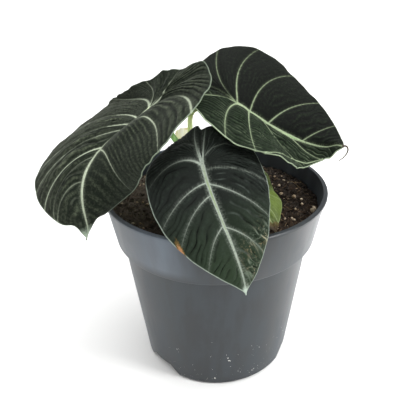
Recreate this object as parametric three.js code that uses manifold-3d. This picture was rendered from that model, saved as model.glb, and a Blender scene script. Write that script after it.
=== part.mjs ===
// A jewel alocasia (Alocasia reginula) growing in a 12 cm nursery pot.
// Millimetres, +Z up. The origin is the centre of the pot's underside, and the front faces -Y.
import * as THREE from 'three';
import { mergeVertices } from 'three/addons/utils/BufferGeometryUtils.js';
import Module from 'manifold-3d';

const wasm = await Module();
wasm.setup();

// ---- Driving dimensions ----

const CLEARANCE = 0.3; // between two pieces that touch

const POT = {
  height: 105,
  rimRadius: 60,
  lipReach: 0.9, // how far the lip stands out over the collar
  lipHeight: 1.4,
  collarFootRadius: 55,
  collarFootHeight: 78.5,
  ledgeDrop: 1, // the ledge under the collar slopes down to the body
  bodyTopRadius: 51.6,
  baseRadius: 42.5,
  baseChamfer: 1.2,
  edge: 0.4, // rounding of the lip and of the collar's foot
  wall: 1.3,
  floor: 1.8,
  innerLedgeTop: 80.5,
  innerLedgeBottom: 78,
  sides: 72,
};

// Three notches through the foot, each a trapezium seen from outside, with a pocket behind it.
const DRAIN = {
  directions: [-137, -17, 103], // degrees from +X
  bottomHalfWidth: 13.4,
  topHalfWidth: 6.8,
  height: 6.5,
  depth: 10,
  holeRadius: 2.5,
  holeSides: 16,
};

const SOIL = {
  level: 96.5,
  crumbHeight: 0.9,
  // Ripples that cross to make the crumbs: turn per mm along x, along y, and first turn.
  ripples: [[0.61, 0.35, 0], [-0.29, 0.83, 2], [1.27, -1.09, 4]],
  moundHeight: 2, // round the stem
  moundRadius: 16,
  rings: 10,
};

const STEM = {
  centre: [-7, 4],
  radius: 7.6,
  bottom: 70,
  top: 107,
  scarPitch: 6, // leaf scars ring the stem
  scarDepth: 0.5,
  footShare: 0.55, // of the radius
  dome: [[0.86, 2.2], [0.45, 0.3]], // [share of the radius, depth below the top]
  shoulder: 5, // the rings stop this far below the top
  sides: 20,
};

const BLADE = {
  thickness: 0.8,
  keel: 0.9, // how far the midrib stands out below
  pillow: 0.9, // how far the blade puffs up between two veins
  veinArm: 0.5, // a vein's first stretch, before it bows to the tip, as a share of its length
  fanEnd: 0.05, // veins that leave nearer than this share of the length fan out from the junction
  tipAngle: 20, // of the last row of the mesh
  fanRows: 9, // rows of the mesh that leave the petiole junction
  frontRows: 17, // rows that leave the midrib
  columns: 6, // from midrib to margin
  midribSteps: 80,
};

// The flat outline's shape, the same for each blade.
const OUTLINE = {
  widestAt: 0.15, // share of the length from junction to tip
  widestShare: 0.45, // share of the margin from sinus to tip
  lobeRound: 0.85, // these two powers round the lobe
  flankRound: 0.8,
  sinusWidth: 0.04, // share of the blade's width
  shoulderPower: 2.5, // these two powers draw the blade out to its tip
  taperPower: 1.4,
};

// Each blade is a flat outline bent in space. Its midrib starts behind the lobes, passes the
// junction with the petiole and ends at the tip. Heading, pitch and roll are given there, in
// degrees: at the lobes, half way and at the tip. Each half has a fold at the midrib and a curl
// from midrib to margin, given at the same three places, and a wave of its margin as
// [height, where it starts]. Lobe is how far the half reaches behind the junction.
// A vein is [share of the length from junction to tip where it leaves the midrib, its angle
// there, where it ends on the margin: 0 at the sinus, 0.45 where the blade is widest, 1 at the
// tip]. Left and right are the blade's own, looking from the junction to the tip.
const LEAVES = {
  left: {
    junction: [-32, -6.4, 149.6],
    length: 79,
    width: 82,
    sinus: 22,
    heading: [-87, -140, -2],
    pitch: [-55, -29, -110],
    roll: [27, -4, 8],
    waveLength: 42,
    leftHalf: {
      lobe: 24.3,
      fold: [9, 9, 2],
      curl: [-14, 3, 23],
      wave: [1.2, -11],
      veins: [[0, 147, 0.19], [0, 132, 0.38], [0.08, 91, 0.51], [0.38, 85, 0.8]],
    },
    rightHalf: {
      lobe: 23.5,
      fold: [-18, -1, -7],
      curl: [40, -22, -53],
      wave: [0.5, 7],
      veins: [
        [0, 155, 0.08],
        [0, 123, 0.32],
        [0.09, 82, 0.56],
        [0.16, 56, 0.66],
        [0.22, 36, 0.75],
        [0.4, 58, 0.85],
      ],
    },
  },
  right: {
    junction: [11.8, -0.8, 149.8],
    length: 65.3,
    width: 78.7,
    sinus: 19.3,
    heading: [-9, 5, -66],
    pitch: [-2, -35, 36],
    roll: [11, 32, 24],
    waveLength: 62,
    leftHalf: {
      lobe: 25.9,
      fold: [15, 20, -1],
      curl: [-18, -24, -33],
      wave: [2.5, -9.4],
      veins: [[0, 157, 0.09], [0, 119, 0.41], [0.12, 98, 0.6], [0.3, 71, 0.76], [0.61, 57, 0.87]],
    },
    rightHalf: {
      lobe: 25.9,
      fold: [14, 14, -6],
      curl: [-29, 24, 70],
      wave: [4.8, 13],
      veins: [[0, 168, 0.08], [0, 127, 0.32], [0.11, 102, 0.43], [0.26, 61, 0.83], [0.52, 40, 0.91]],
    },
  },
  front: {
    junction: [-5.4, -38.3, 132.8],
    length: 63.6,
    width: 55,
    sinus: 23.4,
    heading: [-103, -63, -30],
    pitch: [-15, -42, -82],
    roll: [16, -3, 21],
    waveLength: 39,
    leftHalf: {
      lobe: 24.8,
      fold: [11, 27, 22],
      curl: [-55, -39, -28],
      wave: [0.9, 4],
      veins: [[0, 160, 0.08], [0.03, 95, 0.52], [0.15, 57, 0.7], [0.48, 55, 0.84]],
    },
    rightHalf: {
      lobe: 27,
      fold: [-10, 9, -1],
      curl: [-30, -46, -56],
      wave: [0.7, -6],
      veins: [[0, 170, 0.08], [0, 137, 0.44], [0.14, 73, 0.59], [0.24, 68, 0.69], [0.47, 70, 0.81]],
    },
  },
  small: {
    junction: [16.6, -10.9, 112.2],
    length: 37.7,
    width: 31.6,
    sinus: 9,
    heading: [-77, -71, -62],
    pitch: [4, -16, -32],
    roll: [-2, -13, -9],
    waveLength: 27.5,
    leftHalf: {
      lobe: 10.4,
      fold: [4, 4, 2],
      curl: [-30, -30, -29],
      wave: [1.4, 9.5],
      veins: [[0, 150, 0.14], [0, 100, 0.42], [0.21, 69, 0.62], [0.48, 53, 0.91]],
    },
    rightHalf: {
      lobe: 11.2,
      fold: [4, 4, 4],
      curl: [-28, -28, -27],
      wave: [0.6, -4],
      veins: [[0, 152, 0.14], [0, 104, 0.4], [0.2, 68, 0.62], [0.48, 54, 0.81]],
    },
  },
};

// The points that each petiole passes through, from its socket in the stem to just under the
// blade's junction, whose place is worked out from the blade.
const PETIOLES = {
  left: {
    radius: 1.5,
    through: [[-11, 4, 99], [-13, 3.4, 107], [-17, 2.4, 118.5], [-21.5, 0.6, 129.5], [-27.5, -2.2, 140]],
  },
  right: {
    radius: 1.35,
    through: [
      [-6.4, 7.6, 99],
      [-8.6, 7.6, 108],
      [-11.4, 7, 121],
      [-12.4, 6.2, 134],
      [-9.5, 4.8, 144],
      [-1, 2, 148.4],
    ],
  },
  front: {
    radius: 1.4,
    through: [[-7.4, 0.2, 99], [-7.2, -3, 107.5], [-6.6, -12, 117.5], [-6, -25, 127]],
  },
  small: {
    radius: 1.1,
    through: [[-3.4, 3.4, 99], [1.8, 0.8, 104], [8, -3.6, 106.6], [13.6, -8, 108.8]],
  },
};
const TUBE = { sides: 10, stepsPerPoint: 3 };
const SEAT_EASE = 0.2; // added under a blade, whose lower face isn't quite flat

// The papery scale that wraps the foot of the petioles: a strip round a cone, cut to a point.
const SHEATH = {
  bottom: 101,
  top: 137,
  lean: [-8.5, -2], // how far the tip leans out from the foot
  leanPower: 1.5,
  tipRadius: 6,
  back: [110, 132], // the direction that its back faces at the foot and the tip, degrees from +X
  footHalfAngle: 52,
  tipHalfAngle: 4,
  taperPower: 4,
  arch: 5, // its sides end this far below the middle of the tip
  thickness: 0.8,
  rows: 10,
  columns: 8,
};

const COLOURS = {
  pot: 0x3a3d3f,
  soil: 0x2c211b,
  stem: 0x8f9a5c,
  petiole: 0x9cb578,
  sheath: 0xe0d79a,
  darkBlade: 0x1f2a22,
  smallBlade: 0x87a35a,
};

// ---- Helpers ----

const radians = THREE.MathUtils.degToRad;
const clamp = THREE.MathUtils.clamp;
const lerp = THREE.MathUtils.lerp;

// A closed geometry as a solid that can be joined and cut.
function toSolid(geometry) {
  const bare = new THREE.BufferGeometry();
  bare.setAttribute('position', geometry.getAttribute('position'));
  bare.setIndex(geometry.getIndex());
  const merged = mergeVertices(bare, 1e-4);
  const corners = merged.getIndex().array;
  const triangles = [];
  for (let i = 0; i < corners.length; i += 3) {
    const [a, b, c] = corners.slice(i, i + 3);
    if (a !== b && b !== c && c !== a) triangles.push(a, b, c);
  }
  return new wasm.Manifold(new wasm.Mesh({
    numProp: 3,
    vertProperties: new Float32Array(merged.getAttribute('position').array),
    triVerts: new Uint32Array(triangles),
  }));
}

function toGeometry(solid) {
  const mesh = solid.getMesh();
  const geometry = new THREE.BufferGeometry();
  geometry.setAttribute('position', new THREE.BufferAttribute(new Float32Array(mesh.vertProperties), 3));
  geometry.setIndex(new THREE.BufferAttribute(new Uint32Array(mesh.triVerts), 1));
  return geometry;
}

// A solid of revolution about +Z. The profile runs from the axis round to the axis again,
// as [radius, height] pairs, counter-clockwise from the bottom.
function lathe(profile, sides) {
  const points = profile.map(([r, z]) => new THREE.Vector2(r, z));
  return new THREE.LatheGeometry(points, sides).rotateX(Math.PI / 2);
}

// A closed tube of round section along a smooth curve.
function tube(curve, radius, steps) {
  const section = new THREE.Shape().absarc(0, 0, radius, 0, 2 * Math.PI);
  return new THREE.ExtrudeGeometry(section, {
    extrudePath: curve,
    steps,
    curveSegments: TUBE.sides / 2, // three.js doubles this on a circle
  });
}

// The value at share u of a quantity given at the start, half way and at the end.
function threePoint([start, middle, end], u) {
  return start * (1 - u) * (1 - 2 * u) + middle * 4 * u * (1 - u) + end * u * (2 * u - 1);
}

// Straight-line interpolation in a list of [position, value] pairs, sorted by position.
function interpolate(pairs, position) {
  const last = pairs.length - 1;
  if (position <= pairs[0][0]) return pairs[0][1];
  for (let i = 0; i < last; i += 1) {
    const [x0, y0] = pairs[i];
    const [x1, y1] = pairs[i + 1];
    if (position <= x1) return lerp(y0, y1, (position - x0) / (x1 - x0));
  }
  return pairs[last][1];
}

// ---- Pot ----

// The outside of the pot, from the axis to the lip's top.
function potOutside() {
  const { height, rimRadius, lipReach, lipHeight, collarFootRadius, collarFootHeight, edge } = POT;
  return [
    [0, 0],
    [POT.baseRadius - POT.baseChamfer, 0],
    [POT.baseRadius, POT.baseChamfer],
    [POT.bodyTopRadius, collarFootHeight - POT.ledgeDrop],
    [collarFootRadius - 2 * edge, collarFootHeight - edge],
    [collarFootRadius, collarFootHeight + 2 * edge],
    [rimRadius - lipReach, height - lipHeight - edge],
    [rimRadius, height - lipHeight],
    [rimRadius, height - edge],
    [rimRadius - edge, height],
  ];
}

// The inside of the pot, drawn in by an inset, from a height on its collar to the axis.
function potInside(inset, top) {
  const thick = POT.wall + inset;
  const collarGrowth = POT.rimRadius - POT.lipReach - POT.collarFootRadius;
  const collarSlope = collarGrowth / (POT.height - POT.collarFootHeight);
  const collarRadius = (z) => POT.collarFootRadius + collarSlope * (z - POT.collarFootHeight) - thick;
  return [
    [collarRadius(top), top],
    [collarRadius(POT.innerLedgeTop), POT.innerLedgeTop + inset],
    [POT.bodyTopRadius - thick, POT.innerLedgeBottom + inset],
    [POT.baseRadius - thick, POT.floor + inset],
    [0, POT.floor + inset],
  ];
}

// The notches' trapezium, grown by an offset, pushed out from an inner radius past the wall.
function drainBlocks(offset, inner) {
  const below = 1;
  const bottom = DRAIN.bottomHalfWidth + offset;
  const top = DRAIN.topHalfWidth + offset;
  const outline = new THREE.Shape([
    new THREE.Vector2(-bottom, -below),
    new THREE.Vector2(bottom, -below),
    new THREE.Vector2(bottom, 0),
    new THREE.Vector2(top, DRAIN.height + offset),
    new THREE.Vector2(-top, DRAIN.height + offset),
    new THREE.Vector2(-bottom, 0),
  ]);
  return DRAIN.directions.map((direction) => {
    const depth = POT.bodyTopRadius - inner;
    const block = new THREE.ExtrudeGeometry(outline, { depth, bevelEnabled: false });
    block.rotateX(Math.PI / 2);
    block.translate(0, -inner, 0);
    block.rotateZ(radians(direction + 90));
    return toSolid(block);
  });
}

function buildPot() {
  const above = POT.height + 1;
  const outer = toSolid(lathe([...potOutside(), [0, POT.height]], POT.sides));
  const inside = [...potInside(0, above).reverse(), [0, above]];
  let hollow = toSolid(lathe(inside, POT.sides));
  for (const boss of drainBlocks(POT.wall, POT.baseRadius - DRAIN.depth - POT.wall)) {
    hollow = hollow.subtract(boss);
  }
  let pot = outer.subtract(hollow);
  for (const pocket of drainBlocks(0, POT.baseRadius - DRAIN.depth)) {
    pot = pot.subtract(pocket);
  }
  const { holeRadius, holeSides, height } = DRAIN;
  for (const direction of DRAIN.directions) {
    const hole = new THREE.CylinderGeometry(holeRadius, holeRadius, 2 * height, holeSides);
    hole.rotateX(Math.PI / 2);
    hole.translate(POT.baseRadius - DRAIN.depth / 2, 0, height);
    hole.rotateZ(radians(direction));
    pot = pot.subtract(toSolid(hole));
  }
  return toGeometry(pot);
}

// ---- Soil ----

function soilHeight(x, y) {
  const fromStem = Math.hypot(x - STEM.centre[0], y - STEM.centre[1]);
  const mound = SOIL.moundHeight * Math.exp(-((fromStem / SOIL.moundRadius) ** 2));
  const waves = SOIL.ripples.map(([alongX, alongY, start]) => Math.sin(alongX * x + alongY * y + start));
  const crumbs = waves.reduce((sum, wave) => sum + wave, 0) / waves.length;
  return SOIL.level + mound + SOIL.crumbHeight * crumbs;
}

function buildSoil(stemHole) {
  const side = potInside(CLEARANCE, SOIL.level);
  const edge = side[0][0];
  const profile = [...side].reverse();
  for (let ring = 1; ring <= SOIL.rings; ring += 1) {
    profile.push([edge * (1 - ring / SOIL.rings), SOIL.level]);
  }
  const body = lathe(profile, POT.sides);
  const position = body.getAttribute('position');
  for (let i = 0; i < position.count; i += 1) {
    const onTop = position.getZ(i) > SOIL.level - CLEARANCE;
    if (onTop) position.setZ(i, soilHeight(position.getX(i), position.getY(i)));
  }
  let soil = toSolid(body).subtract(stemHole);
  const grown = POT.wall + CLEARANCE;
  for (const boss of drainBlocks(grown, POT.baseRadius - DRAIN.depth - grown)) {
    soil = soil.subtract(boss);
  }
  return toGeometry(soil);
}

// ---- Blades ----

// How far the longer lobe reaches behind the junction, where the midrib's frame starts.
function lobeReach(leaf) {
  return Math.max(leaf.leftHalf.lobe, leaf.rightHalf.lobe);
}

// Where the margin of one half runs in the flat blade, at share m of it from sinus to tip: a
// rounded lobe with the narrow sinus at its root, then a taper to the tip.
function margin(leaf, half, m) {
  const { widestAt, widestShare, lobeRound, flankRound, sinusWidth, shoulderPower, taperPower } = OUTLINE;
  const widest = widestAt * leaf.length;
  if (m < widestShare) {
    const angle = (m / widestShare) * (Math.PI / 2);
    const across = (leaf.width / 2) * Math.sin(angle) ** flankRound;
    const inSinus = Math.exp(-((across / (sinusWidth * leaf.width)) ** 2));
    const lobe = widest - (widest + half.lobe) * Math.cos(angle) ** lobeRound;
    return { along: lobe + (half.lobe - leaf.sinus) * inSinus, across };
  }
  const share = (m - widestShare) / (1 - widestShare);
  return {
    along: widest + (leaf.length - widest) * share,
    across: (leaf.width / 2) * (1 - share ** shoulderPower) ** taperPower,
  };
}

// The midrib in space, as a list of stations with its direction and the blade's two axes there.
function midrib(leaf) {
  const steps = BLADE.midribSteps;
  const whole = leaf.length + lobeReach(leaf);
  const stations = [];
  const point = new THREE.Vector3();
  for (let i = 0; i <= steps; i += 1) {
    const u = i / steps;
    const heading = radians(threePoint(leaf.heading, u));
    const pitch = radians(threePoint(leaf.pitch, u));
    const roll = radians(threePoint(leaf.roll, u));
    const forward = new THREE.Vector3(
      Math.cos(pitch) * Math.cos(heading),
      Math.cos(pitch) * Math.sin(heading),
      Math.sin(pitch),
    );
    const level = new THREE.Vector3(-Math.sin(heading), Math.cos(heading), 0);
    const across = level.applyAxisAngle(forward, roll);
    const up = new THREE.Vector3().crossVectors(forward, across);
    if (i > 0) point.addScaledVector(forward.clone().add(stations[i - 1].forward), whole / steps / 2);
    stations.push({ along: u * whole - lobeReach(leaf), point: point.clone(), forward, across, up });
  }
  const atJunction = sample(stations, 0).point;
  const shift = new THREE.Vector3(...leaf.junction).sub(atJunction);
  for (const station of stations) station.point.add(shift);
  return stations;
}

// The midrib's frame at a distance along it, between the stations on either side.
function sample(stations, along) {
  const first = stations[0].along;
  const pitch = stations[1].along - first;
  const index = clamp(Math.floor((along - first) / pitch), 0, stations.length - 2);
  const share = clamp((along - first) / pitch - index, 0, 1);
  const mix = (key) => stations[index][key].clone().lerp(stations[index + 1][key], share);
  return { point: mix('point'), forward: mix('forward'), across: mix('across'), up: mix('up') };
}

// Where a point of the flat blade lies in space. Side is +1 on the left half, -1 on the right.
function bend(leaf, stations, along, across, side) {
  const frame = sample(stations, along);
  const half = side > 0 ? leaf.leftHalf : leaf.rightHalf;
  const u = clamp((along + lobeReach(leaf)) / (leaf.length + lobeReach(leaf)), 0, 1);
  const fold = radians(threePoint(half.fold, u));
  const bow = radians(threePoint(half.curl, u)) / (leaf.width / 2) || 1e-6;
  const out = (Math.sin(fold + bow * across) - Math.sin(fold)) / bow;
  const rise = (Math.cos(fold) - Math.cos(fold + bow * across)) / bow;
  const [waveHeight, waveStart] = half.wave;
  const toMargin = clamp(across / (leaf.width / 2), 0, 1);
  const wave = waveHeight * toMargin ** 2 * Math.sin((2 * Math.PI * (along - waveStart)) / leaf.waveLength);
  return frame.point.addScaledVector(frame.across, side * out).addScaledVector(frame.up, rise + wave);
}

// One mesh row of a half blade. Row u is -1 at the sinus, 0 where the last vein leaves the
// junction and 1 at the tip. It gives where the row starts, its angle there and its end.
function rowOf(half, u) {
  const fan = half.veins.filter(([station]) => station < BLADE.fanEnd);
  const lastOfFan = fan[fan.length - 1];
  if (u < 0) {
    const reach = (1 + u) * lastOfFan[2];
    const angles = [[0, 180], ...fan.map(([, angle, end]) => [end, angle])];
    return { station: 0, angle: interpolate(angles, reach), reach };
  }
  const front = half.veins.filter(([station]) => station >= BLADE.fanEnd);
  const list = [[0, lastOfFan[1], lastOfFan[2]], ...front, [1, BLADE.tipAngle, 1]];
  return {
    station: u,
    angle: interpolate(list.map(([station, angle]) => [station, angle]), u),
    reach: interpolate(list.map(([station, , end]) => [station, end]), u),
  };
}

// The flat point at share v of a row: an arc that leaves the midrib at the row's angle.
function alongRow(leaf, half, row, v) {
  const start = row.station * leaf.length;
  const end = margin(leaf, half, row.reach);
  const arm = BLADE.veinArm * Math.hypot(end.along - start, end.across);
  const bendAlong = start + arm * Math.cos(radians(row.angle));
  const bendAcross = arm * Math.sin(radians(row.angle));
  const [a, b, c] = [(1 - v) ** 2, 2 * v * (1 - v), v ** 2];
  return { along: a * start + b * bendAlong + c * end.along, across: b * bendAcross + c * end.across };
}

// How high the blade puffs up between the two veins next to a row: 0 on a vein.
function pillow(half, reach, v) {
  const ends = [0, ...half.veins.map(([, , end]) => end), 1];
  const next = Math.max(1, ends.findIndex((end) => end >= reach));
  const share = (reach - ends[next - 1]) / (ends[next] - ends[next - 1]);
  return BLADE.pillow * Math.sin(Math.PI * share) * Math.sin(Math.PI * v);
}

// The blade's middle surface, with the left half's rows joined to the right half's along the
// midrib and the sinus. It lists the margin's points in order, and each point's keel height.
function middleSurface(leaf) {
  const stations = midrib(leaf);
  const rows = BLADE.fanRows + BLADE.frontRows;
  const points = [];
  const keels = [];
  const triangles = [];
  const edges = {};
  const shared = new Map();
  const add = (key, point, keel) => {
    if (shared.has(key)) return shared.get(key);
    points.push(point.x, point.y, point.z);
    keels.push(keel);
    shared.set(key, keels.length - 1);
    return keels.length - 1;
  };
  for (const side of [1, -1]) {
    const half = side > 0 ? leaf.leftHalf : leaf.rightHalf;
    const grid = [];
    for (let i = 0; i <= rows; i += 1) {
      const u = i < BLADE.fanRows ? i / BLADE.fanRows - 1 : (i - BLADE.fanRows) / BLADE.frontRows;
      const row = rowOf(half, u);
      grid.push([]);
      for (let j = 0; j <= BLADE.columns; j += 1) {
        const v = j / BLADE.columns;
        const flat = alongRow(leaf, half, row, v);
        const point = bend(leaf, stations, flat.along, flat.across, side);
        point.addScaledVector(sample(stations, flat.along).up, pillow(half, row.reach, v));
        const onMidrib = j === 0;
        let key = `${side} ${i} ${j}`;
        if (i === 0) key = `sinus ${j}`;
        if (onMidrib) key = `midrib ${Math.max(i, BLADE.fanRows)}`;
        if (i === rows) key = 'tip';
        const keel = onMidrib && i > BLADE.fanRows ? BLADE.keel * (1 - row.station) : 0;
        grid[i].push(add(key, point, keel));
      }
    }
    for (let i = 0; i < rows; i += 1) {
      for (let j = 0; j < BLADE.columns; j += 1) {
        const quad = [grid[i][j], grid[i + 1][j], grid[i + 1][j + 1], grid[i][j + 1]];
        const [a, b, c, d] = side > 0 ? quad : [quad[0], quad[3], quad[2], quad[1]];
        for (const triangle of [[a, b, c], [a, c, d]]) {
          if (new Set(triangle).size === 3) triangles.push(...triangle);
        }
      }
    }
    edges[side] = grid.map((row) => row[BLADE.columns]);
  }
  const rim = [...edges[1], ...edges[-1].slice(1, -1).reverse()];
  return { points, keels, triangles, rim };
}

// The blade as a closed skin: its middle surface moved half the thickness up and down, with
// both faces split into the same triangles, and a strip round the margin.
function buildBlade(leaf) {
  const { points, keels, triangles, rim } = middleSurface(leaf);
  const middle = new THREE.BufferGeometry();
  middle.setAttribute('position', new THREE.Float32BufferAttribute(points, 3));
  middle.setIndex(triangles);
  middle.computeVertexNormals();
  const normals = middle.getAttribute('normal').array;
  const count = keels.length;
  const skin = new Float32Array(6 * count);
  for (let i = 0; i < 3 * count; i += 1) {
    const below = BLADE.thickness / 2 + keels[Math.floor(i / 3)];
    skin[i] = points[i] + (normals[i] * BLADE.thickness) / 2;
    skin[3 * count + i] = points[i] - normals[i] * below;
  }
  const faces = [...triangles];
  for (let i = 0; i < triangles.length; i += 3) {
    faces.push(triangles[i] + count, triangles[i + 2] + count, triangles[i + 1] + count);
  }
  rim.forEach((a, i) => {
    const b = rim[(i + 1) % rim.length];
    faces.push(a, b, b + count, a, b + count, a + count);
  });
  const blade = new THREE.BufferGeometry();
  blade.setAttribute('position', new THREE.BufferAttribute(skin, 3));
  blade.setIndex(faces);
  return toGeometry(toSolid(blade));
}

// ---- Petioles, stem and sheath ----

// A petiole ends under its blade's junction, clear of it, so that its rim doesn't touch.
function petioleCurve(name) {
  const { radius, through } = PETIOLES[name];
  const frame = sample(midrib(LEAVES[name]), 0);
  const before = new THREE.Vector3(...through[through.length - 1]);
  const arrival = frame.point.clone().sub(before).normalize();
  const tilt = Math.acos(clamp(arrival.dot(frame.up), -1, 1));
  const seat = BLADE.thickness / 2 + CLEARANCE + radius * Math.sin(tilt) + SEAT_EASE;
  const end = frame.point.clone().addScaledVector(frame.up, -seat);
  return new THREE.CatmullRomCurve3([...through.map((p) => new THREE.Vector3(...p)), end]);
}

function petiole(name) {
  const { radius, through } = PETIOLES[name];
  return toSolid(tube(petioleCurve(name), radius, TUBE.stepsPerPoint * through.length));
}

// The socket that a petiole stands in: wider all round, and deeper than the petiole reaches.
function socket(name) {
  const { radius, through } = PETIOLES[name];
  const curve = petioleCurve(name);
  const steps = TUBE.stepsPerPoint * through.length;
  const foot = curve.getPoint(0);
  const below = foot.clone().addScaledVector(curve.getTangent(0), -2 * CLEARANCE);
  const route = [below, ...curve.getSpacedPoints(steps)];
  return toSolid(tube(new THREE.CatmullRomCurve3(route), radius + CLEARANCE, 2 * steps));
}

// The stem: a stub with a domed top and ringed by leaf scars, grown by an offset all round.
function stemStub(offset) {
  const { radius, bottom, top, scarPitch, scarDepth, sides } = STEM;
  const profile = [[0, bottom - offset], [radius * STEM.footShare + offset, bottom - offset]];
  for (let z = bottom + scarPitch / 2; z < top - STEM.shoulder; z += scarPitch) {
    profile.push([radius + offset, z], [radius - scarDepth + offset, z + scarPitch / 2]);
  }
  for (const [share, depth] of STEM.dome) profile.push([radius * share + offset, top - depth + offset]);
  profile.push([0, top + offset]);
  return toSolid(lathe(profile, sides).translate(STEM.centre[0], STEM.centre[1], 0));
}

function buildStem() {
  let stem = stemStub(0);
  for (const name of Object.keys(PETIOLES)) stem = stem.subtract(socket(name));
  return toGeometry(stem);
}

function buildSheath() {
  const { rows, columns, thickness } = SHEATH;
  const footRadius = STEM.radius + CLEARANCE + thickness / 2;
  const place = (i, j, face) => {
    const u = i / rows;
    const v = (2 * j) / columns - 1;
    const halfAngle = lerp(SHEATH.footHalfAngle, SHEATH.tipHalfAngle, u ** SHEATH.taperPower);
    const angle = radians(lerp(...SHEATH.back, u) + v * halfAngle);
    const radius = lerp(footRadius, SHEATH.tipRadius, u) + (face * thickness) / 2;
    const [leanX, leanY] = SHEATH.lean.map((reach) => reach * u ** SHEATH.leanPower);
    const x = STEM.centre[0] + leanX + radius * Math.cos(angle);
    const y = STEM.centre[1] + leanY + radius * Math.sin(angle);
    return [x, y, lerp(SHEATH.bottom, SHEATH.top, u) - SHEATH.arch * v ** 2 * u];
  };
  const points = [];
  for (const face of [1, -1]) {
    for (let i = 0; i <= rows; i += 1) {
      for (let j = 0; j <= columns; j += 1) points.push(...place(i, j, face));
    }
  }
  const across = columns + 1;
  const inner = (rows + 1) * across;
  const faces = [];
  const quad = (a, b, c, d) => faces.push(a, b, c, a, c, d);
  for (let i = 0; i < rows; i += 1) {
    for (let j = 0; j < columns; j += 1) {
      const a = i * across + j;
      quad(a, a + 1, a + 1 + across, a + across);
      quad(inner + a, inner + a + across, inner + a + 1 + across, inner + a + 1);
    }
    const left = i * across;
    const right = left + columns;
    quad(left, left + across, inner + left + across, inner + left);
    quad(right, inner + right, inner + right + across, right + across);
  }
  for (let j = 0; j < columns; j += 1) {
    const end = rows * across + j;
    quad(j, inner + j, inner + j + 1, j + 1);
    quad(end, end + 1, inner + end + 1, inner + end);
  }
  const sheath = new THREE.BufferGeometry();
  sheath.setAttribute('position', new THREE.Float32BufferAttribute(points, 3));
  sheath.setIndex(faces);
  return toGeometry(toSolid(sheath));
}

// ---- Assembly ----

const plant = new THREE.Group();

function addPiece(name, geometry, color, roughness) {
  const material = new THREE.MeshStandardMaterial({ color, roughness, metalness: 0 });
  const mesh = new THREE.Mesh(geometry, material);
  mesh.name = name;
  plant.add(mesh);
}

addPiece('pot', buildPot(), COLOURS.pot, 0.45);
addPiece('soil', buildSoil(stemStub(CLEARANCE)), COLOURS.soil, 0.95);
addPiece('stem_base', buildStem(), COLOURS.stem, 0.6);
addPiece('sheath', buildSheath(), COLOURS.sheath, 0.6);
for (const [name, leaf] of Object.entries(LEAVES)) {
  const bladeColour = name === 'small' ? COLOURS.smallBlade : COLOURS.darkBlade;
  addPiece(`petiole_${name}`, toGeometry(petiole(name)), COLOURS.petiole, 0.5);
  addPiece(`blade_${name}`, buildBlade(leaf), bladeColour, 0.75);
}

export default plant;
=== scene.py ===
"""A jewel alocasia in its nursery pot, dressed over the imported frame. Blender 4.5, metres."""
import math
import random
from functools import partial

import bmesh
import bpy
import numpy as np
from bmesh.types import BMEdge, BMFace, BMVert
from mathutils import Matrix, Vector, noise


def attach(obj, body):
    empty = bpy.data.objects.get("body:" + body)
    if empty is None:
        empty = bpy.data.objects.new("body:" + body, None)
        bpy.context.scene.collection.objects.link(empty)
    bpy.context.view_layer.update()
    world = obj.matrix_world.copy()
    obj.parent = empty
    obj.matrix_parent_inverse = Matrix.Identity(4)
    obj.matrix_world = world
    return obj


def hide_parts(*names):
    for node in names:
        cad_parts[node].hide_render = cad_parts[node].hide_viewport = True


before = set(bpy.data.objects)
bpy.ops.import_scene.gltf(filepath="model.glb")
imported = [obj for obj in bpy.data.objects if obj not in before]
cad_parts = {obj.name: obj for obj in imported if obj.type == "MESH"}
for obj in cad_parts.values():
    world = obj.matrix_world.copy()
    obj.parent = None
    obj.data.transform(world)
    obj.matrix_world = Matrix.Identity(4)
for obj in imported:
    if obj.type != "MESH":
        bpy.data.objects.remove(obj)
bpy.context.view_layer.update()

# ---- Pot ----
# One thin shell of black polypropylene, injection moulded: a tapered body, a wide collar with a
# thin lip, and three notches through its foot. Behind each notch is a moulded pocket with a hole.

MM = 0.001
POT_OUTSIDE = [  # radius and height in mm, from the axis to the lip
    (0, 0), (41.3, 0), (42.5, 1.2), (51.6, 77.5), (54.2, 78.1), (55, 79.3),
    (59.1, 103.2), (60, 103.6), (60, 104.6), (59.6, 105),
]
POT_INSIDE = [  # from above the lip to the axis
    (58, 106), (57.7, 104.6), (54, 80.5), (50.3, 78), (41.2, 1.8), (0, 1.8),
]
POT_STEPS = 240
DRAIN_DIRECTIONS = (-137, -17, 103)  # degrees from +X
DRAIN_HALF_WIDTHS = (13.4, 6.8)  # at the floor and at the top
DRAIN_HEIGHT = 6.5
DRAIN_FLOOR_RADIUS = 42.5
DRAIN_OUTER_RADIUS = 55  # outside the pot
DRAIN_DEPTH = 10
DRAIN_HOLE_RADIUS = 2.5
POT_WALL = 1.3


def add_node(tree, kind, inputs=(), out=None, **settings):
    """Adds a node with its settings, fills or links its inputs by name or in order, gives an output."""
    node = tree.nodes.new("ShaderNode" + kind)
    for key, value in settings.items():
        setattr(node, key, value)
    fill_sockets(tree, node, inputs)
    if out:
        return node.outputs[out]
    return next(socket for socket in node.outputs if socket.enabled)


def fill_sockets(tree, node, inputs):
    for key, value in inputs.items() if isinstance(inputs, dict) else enumerate(inputs):
        if isinstance(value, bpy.types.NodeSocket):
            tree.links.new(value, node.inputs[key])
        else:
            node.inputs[key].default_value = value


def colour(code):
    """An sRGB hex value as the linear colour that a socket takes."""
    shares = [int(code[i:i + 2], 16) / 255 for i in (1, 3, 5)]
    return [*(c / 12.92 if c <= 0.04045 else ((c + 0.055) / 1.055) ** 2.4 for c in shares), 1]


def new_material(name):
    """A material, add_node for its own tree, and the object's own coordinates in it."""
    material = bpy.data.materials.new(name)
    material.use_nodes = True
    add = partial(add_node, material.node_tree)
    return material, add, add("TexCoord", out="Object")


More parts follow.
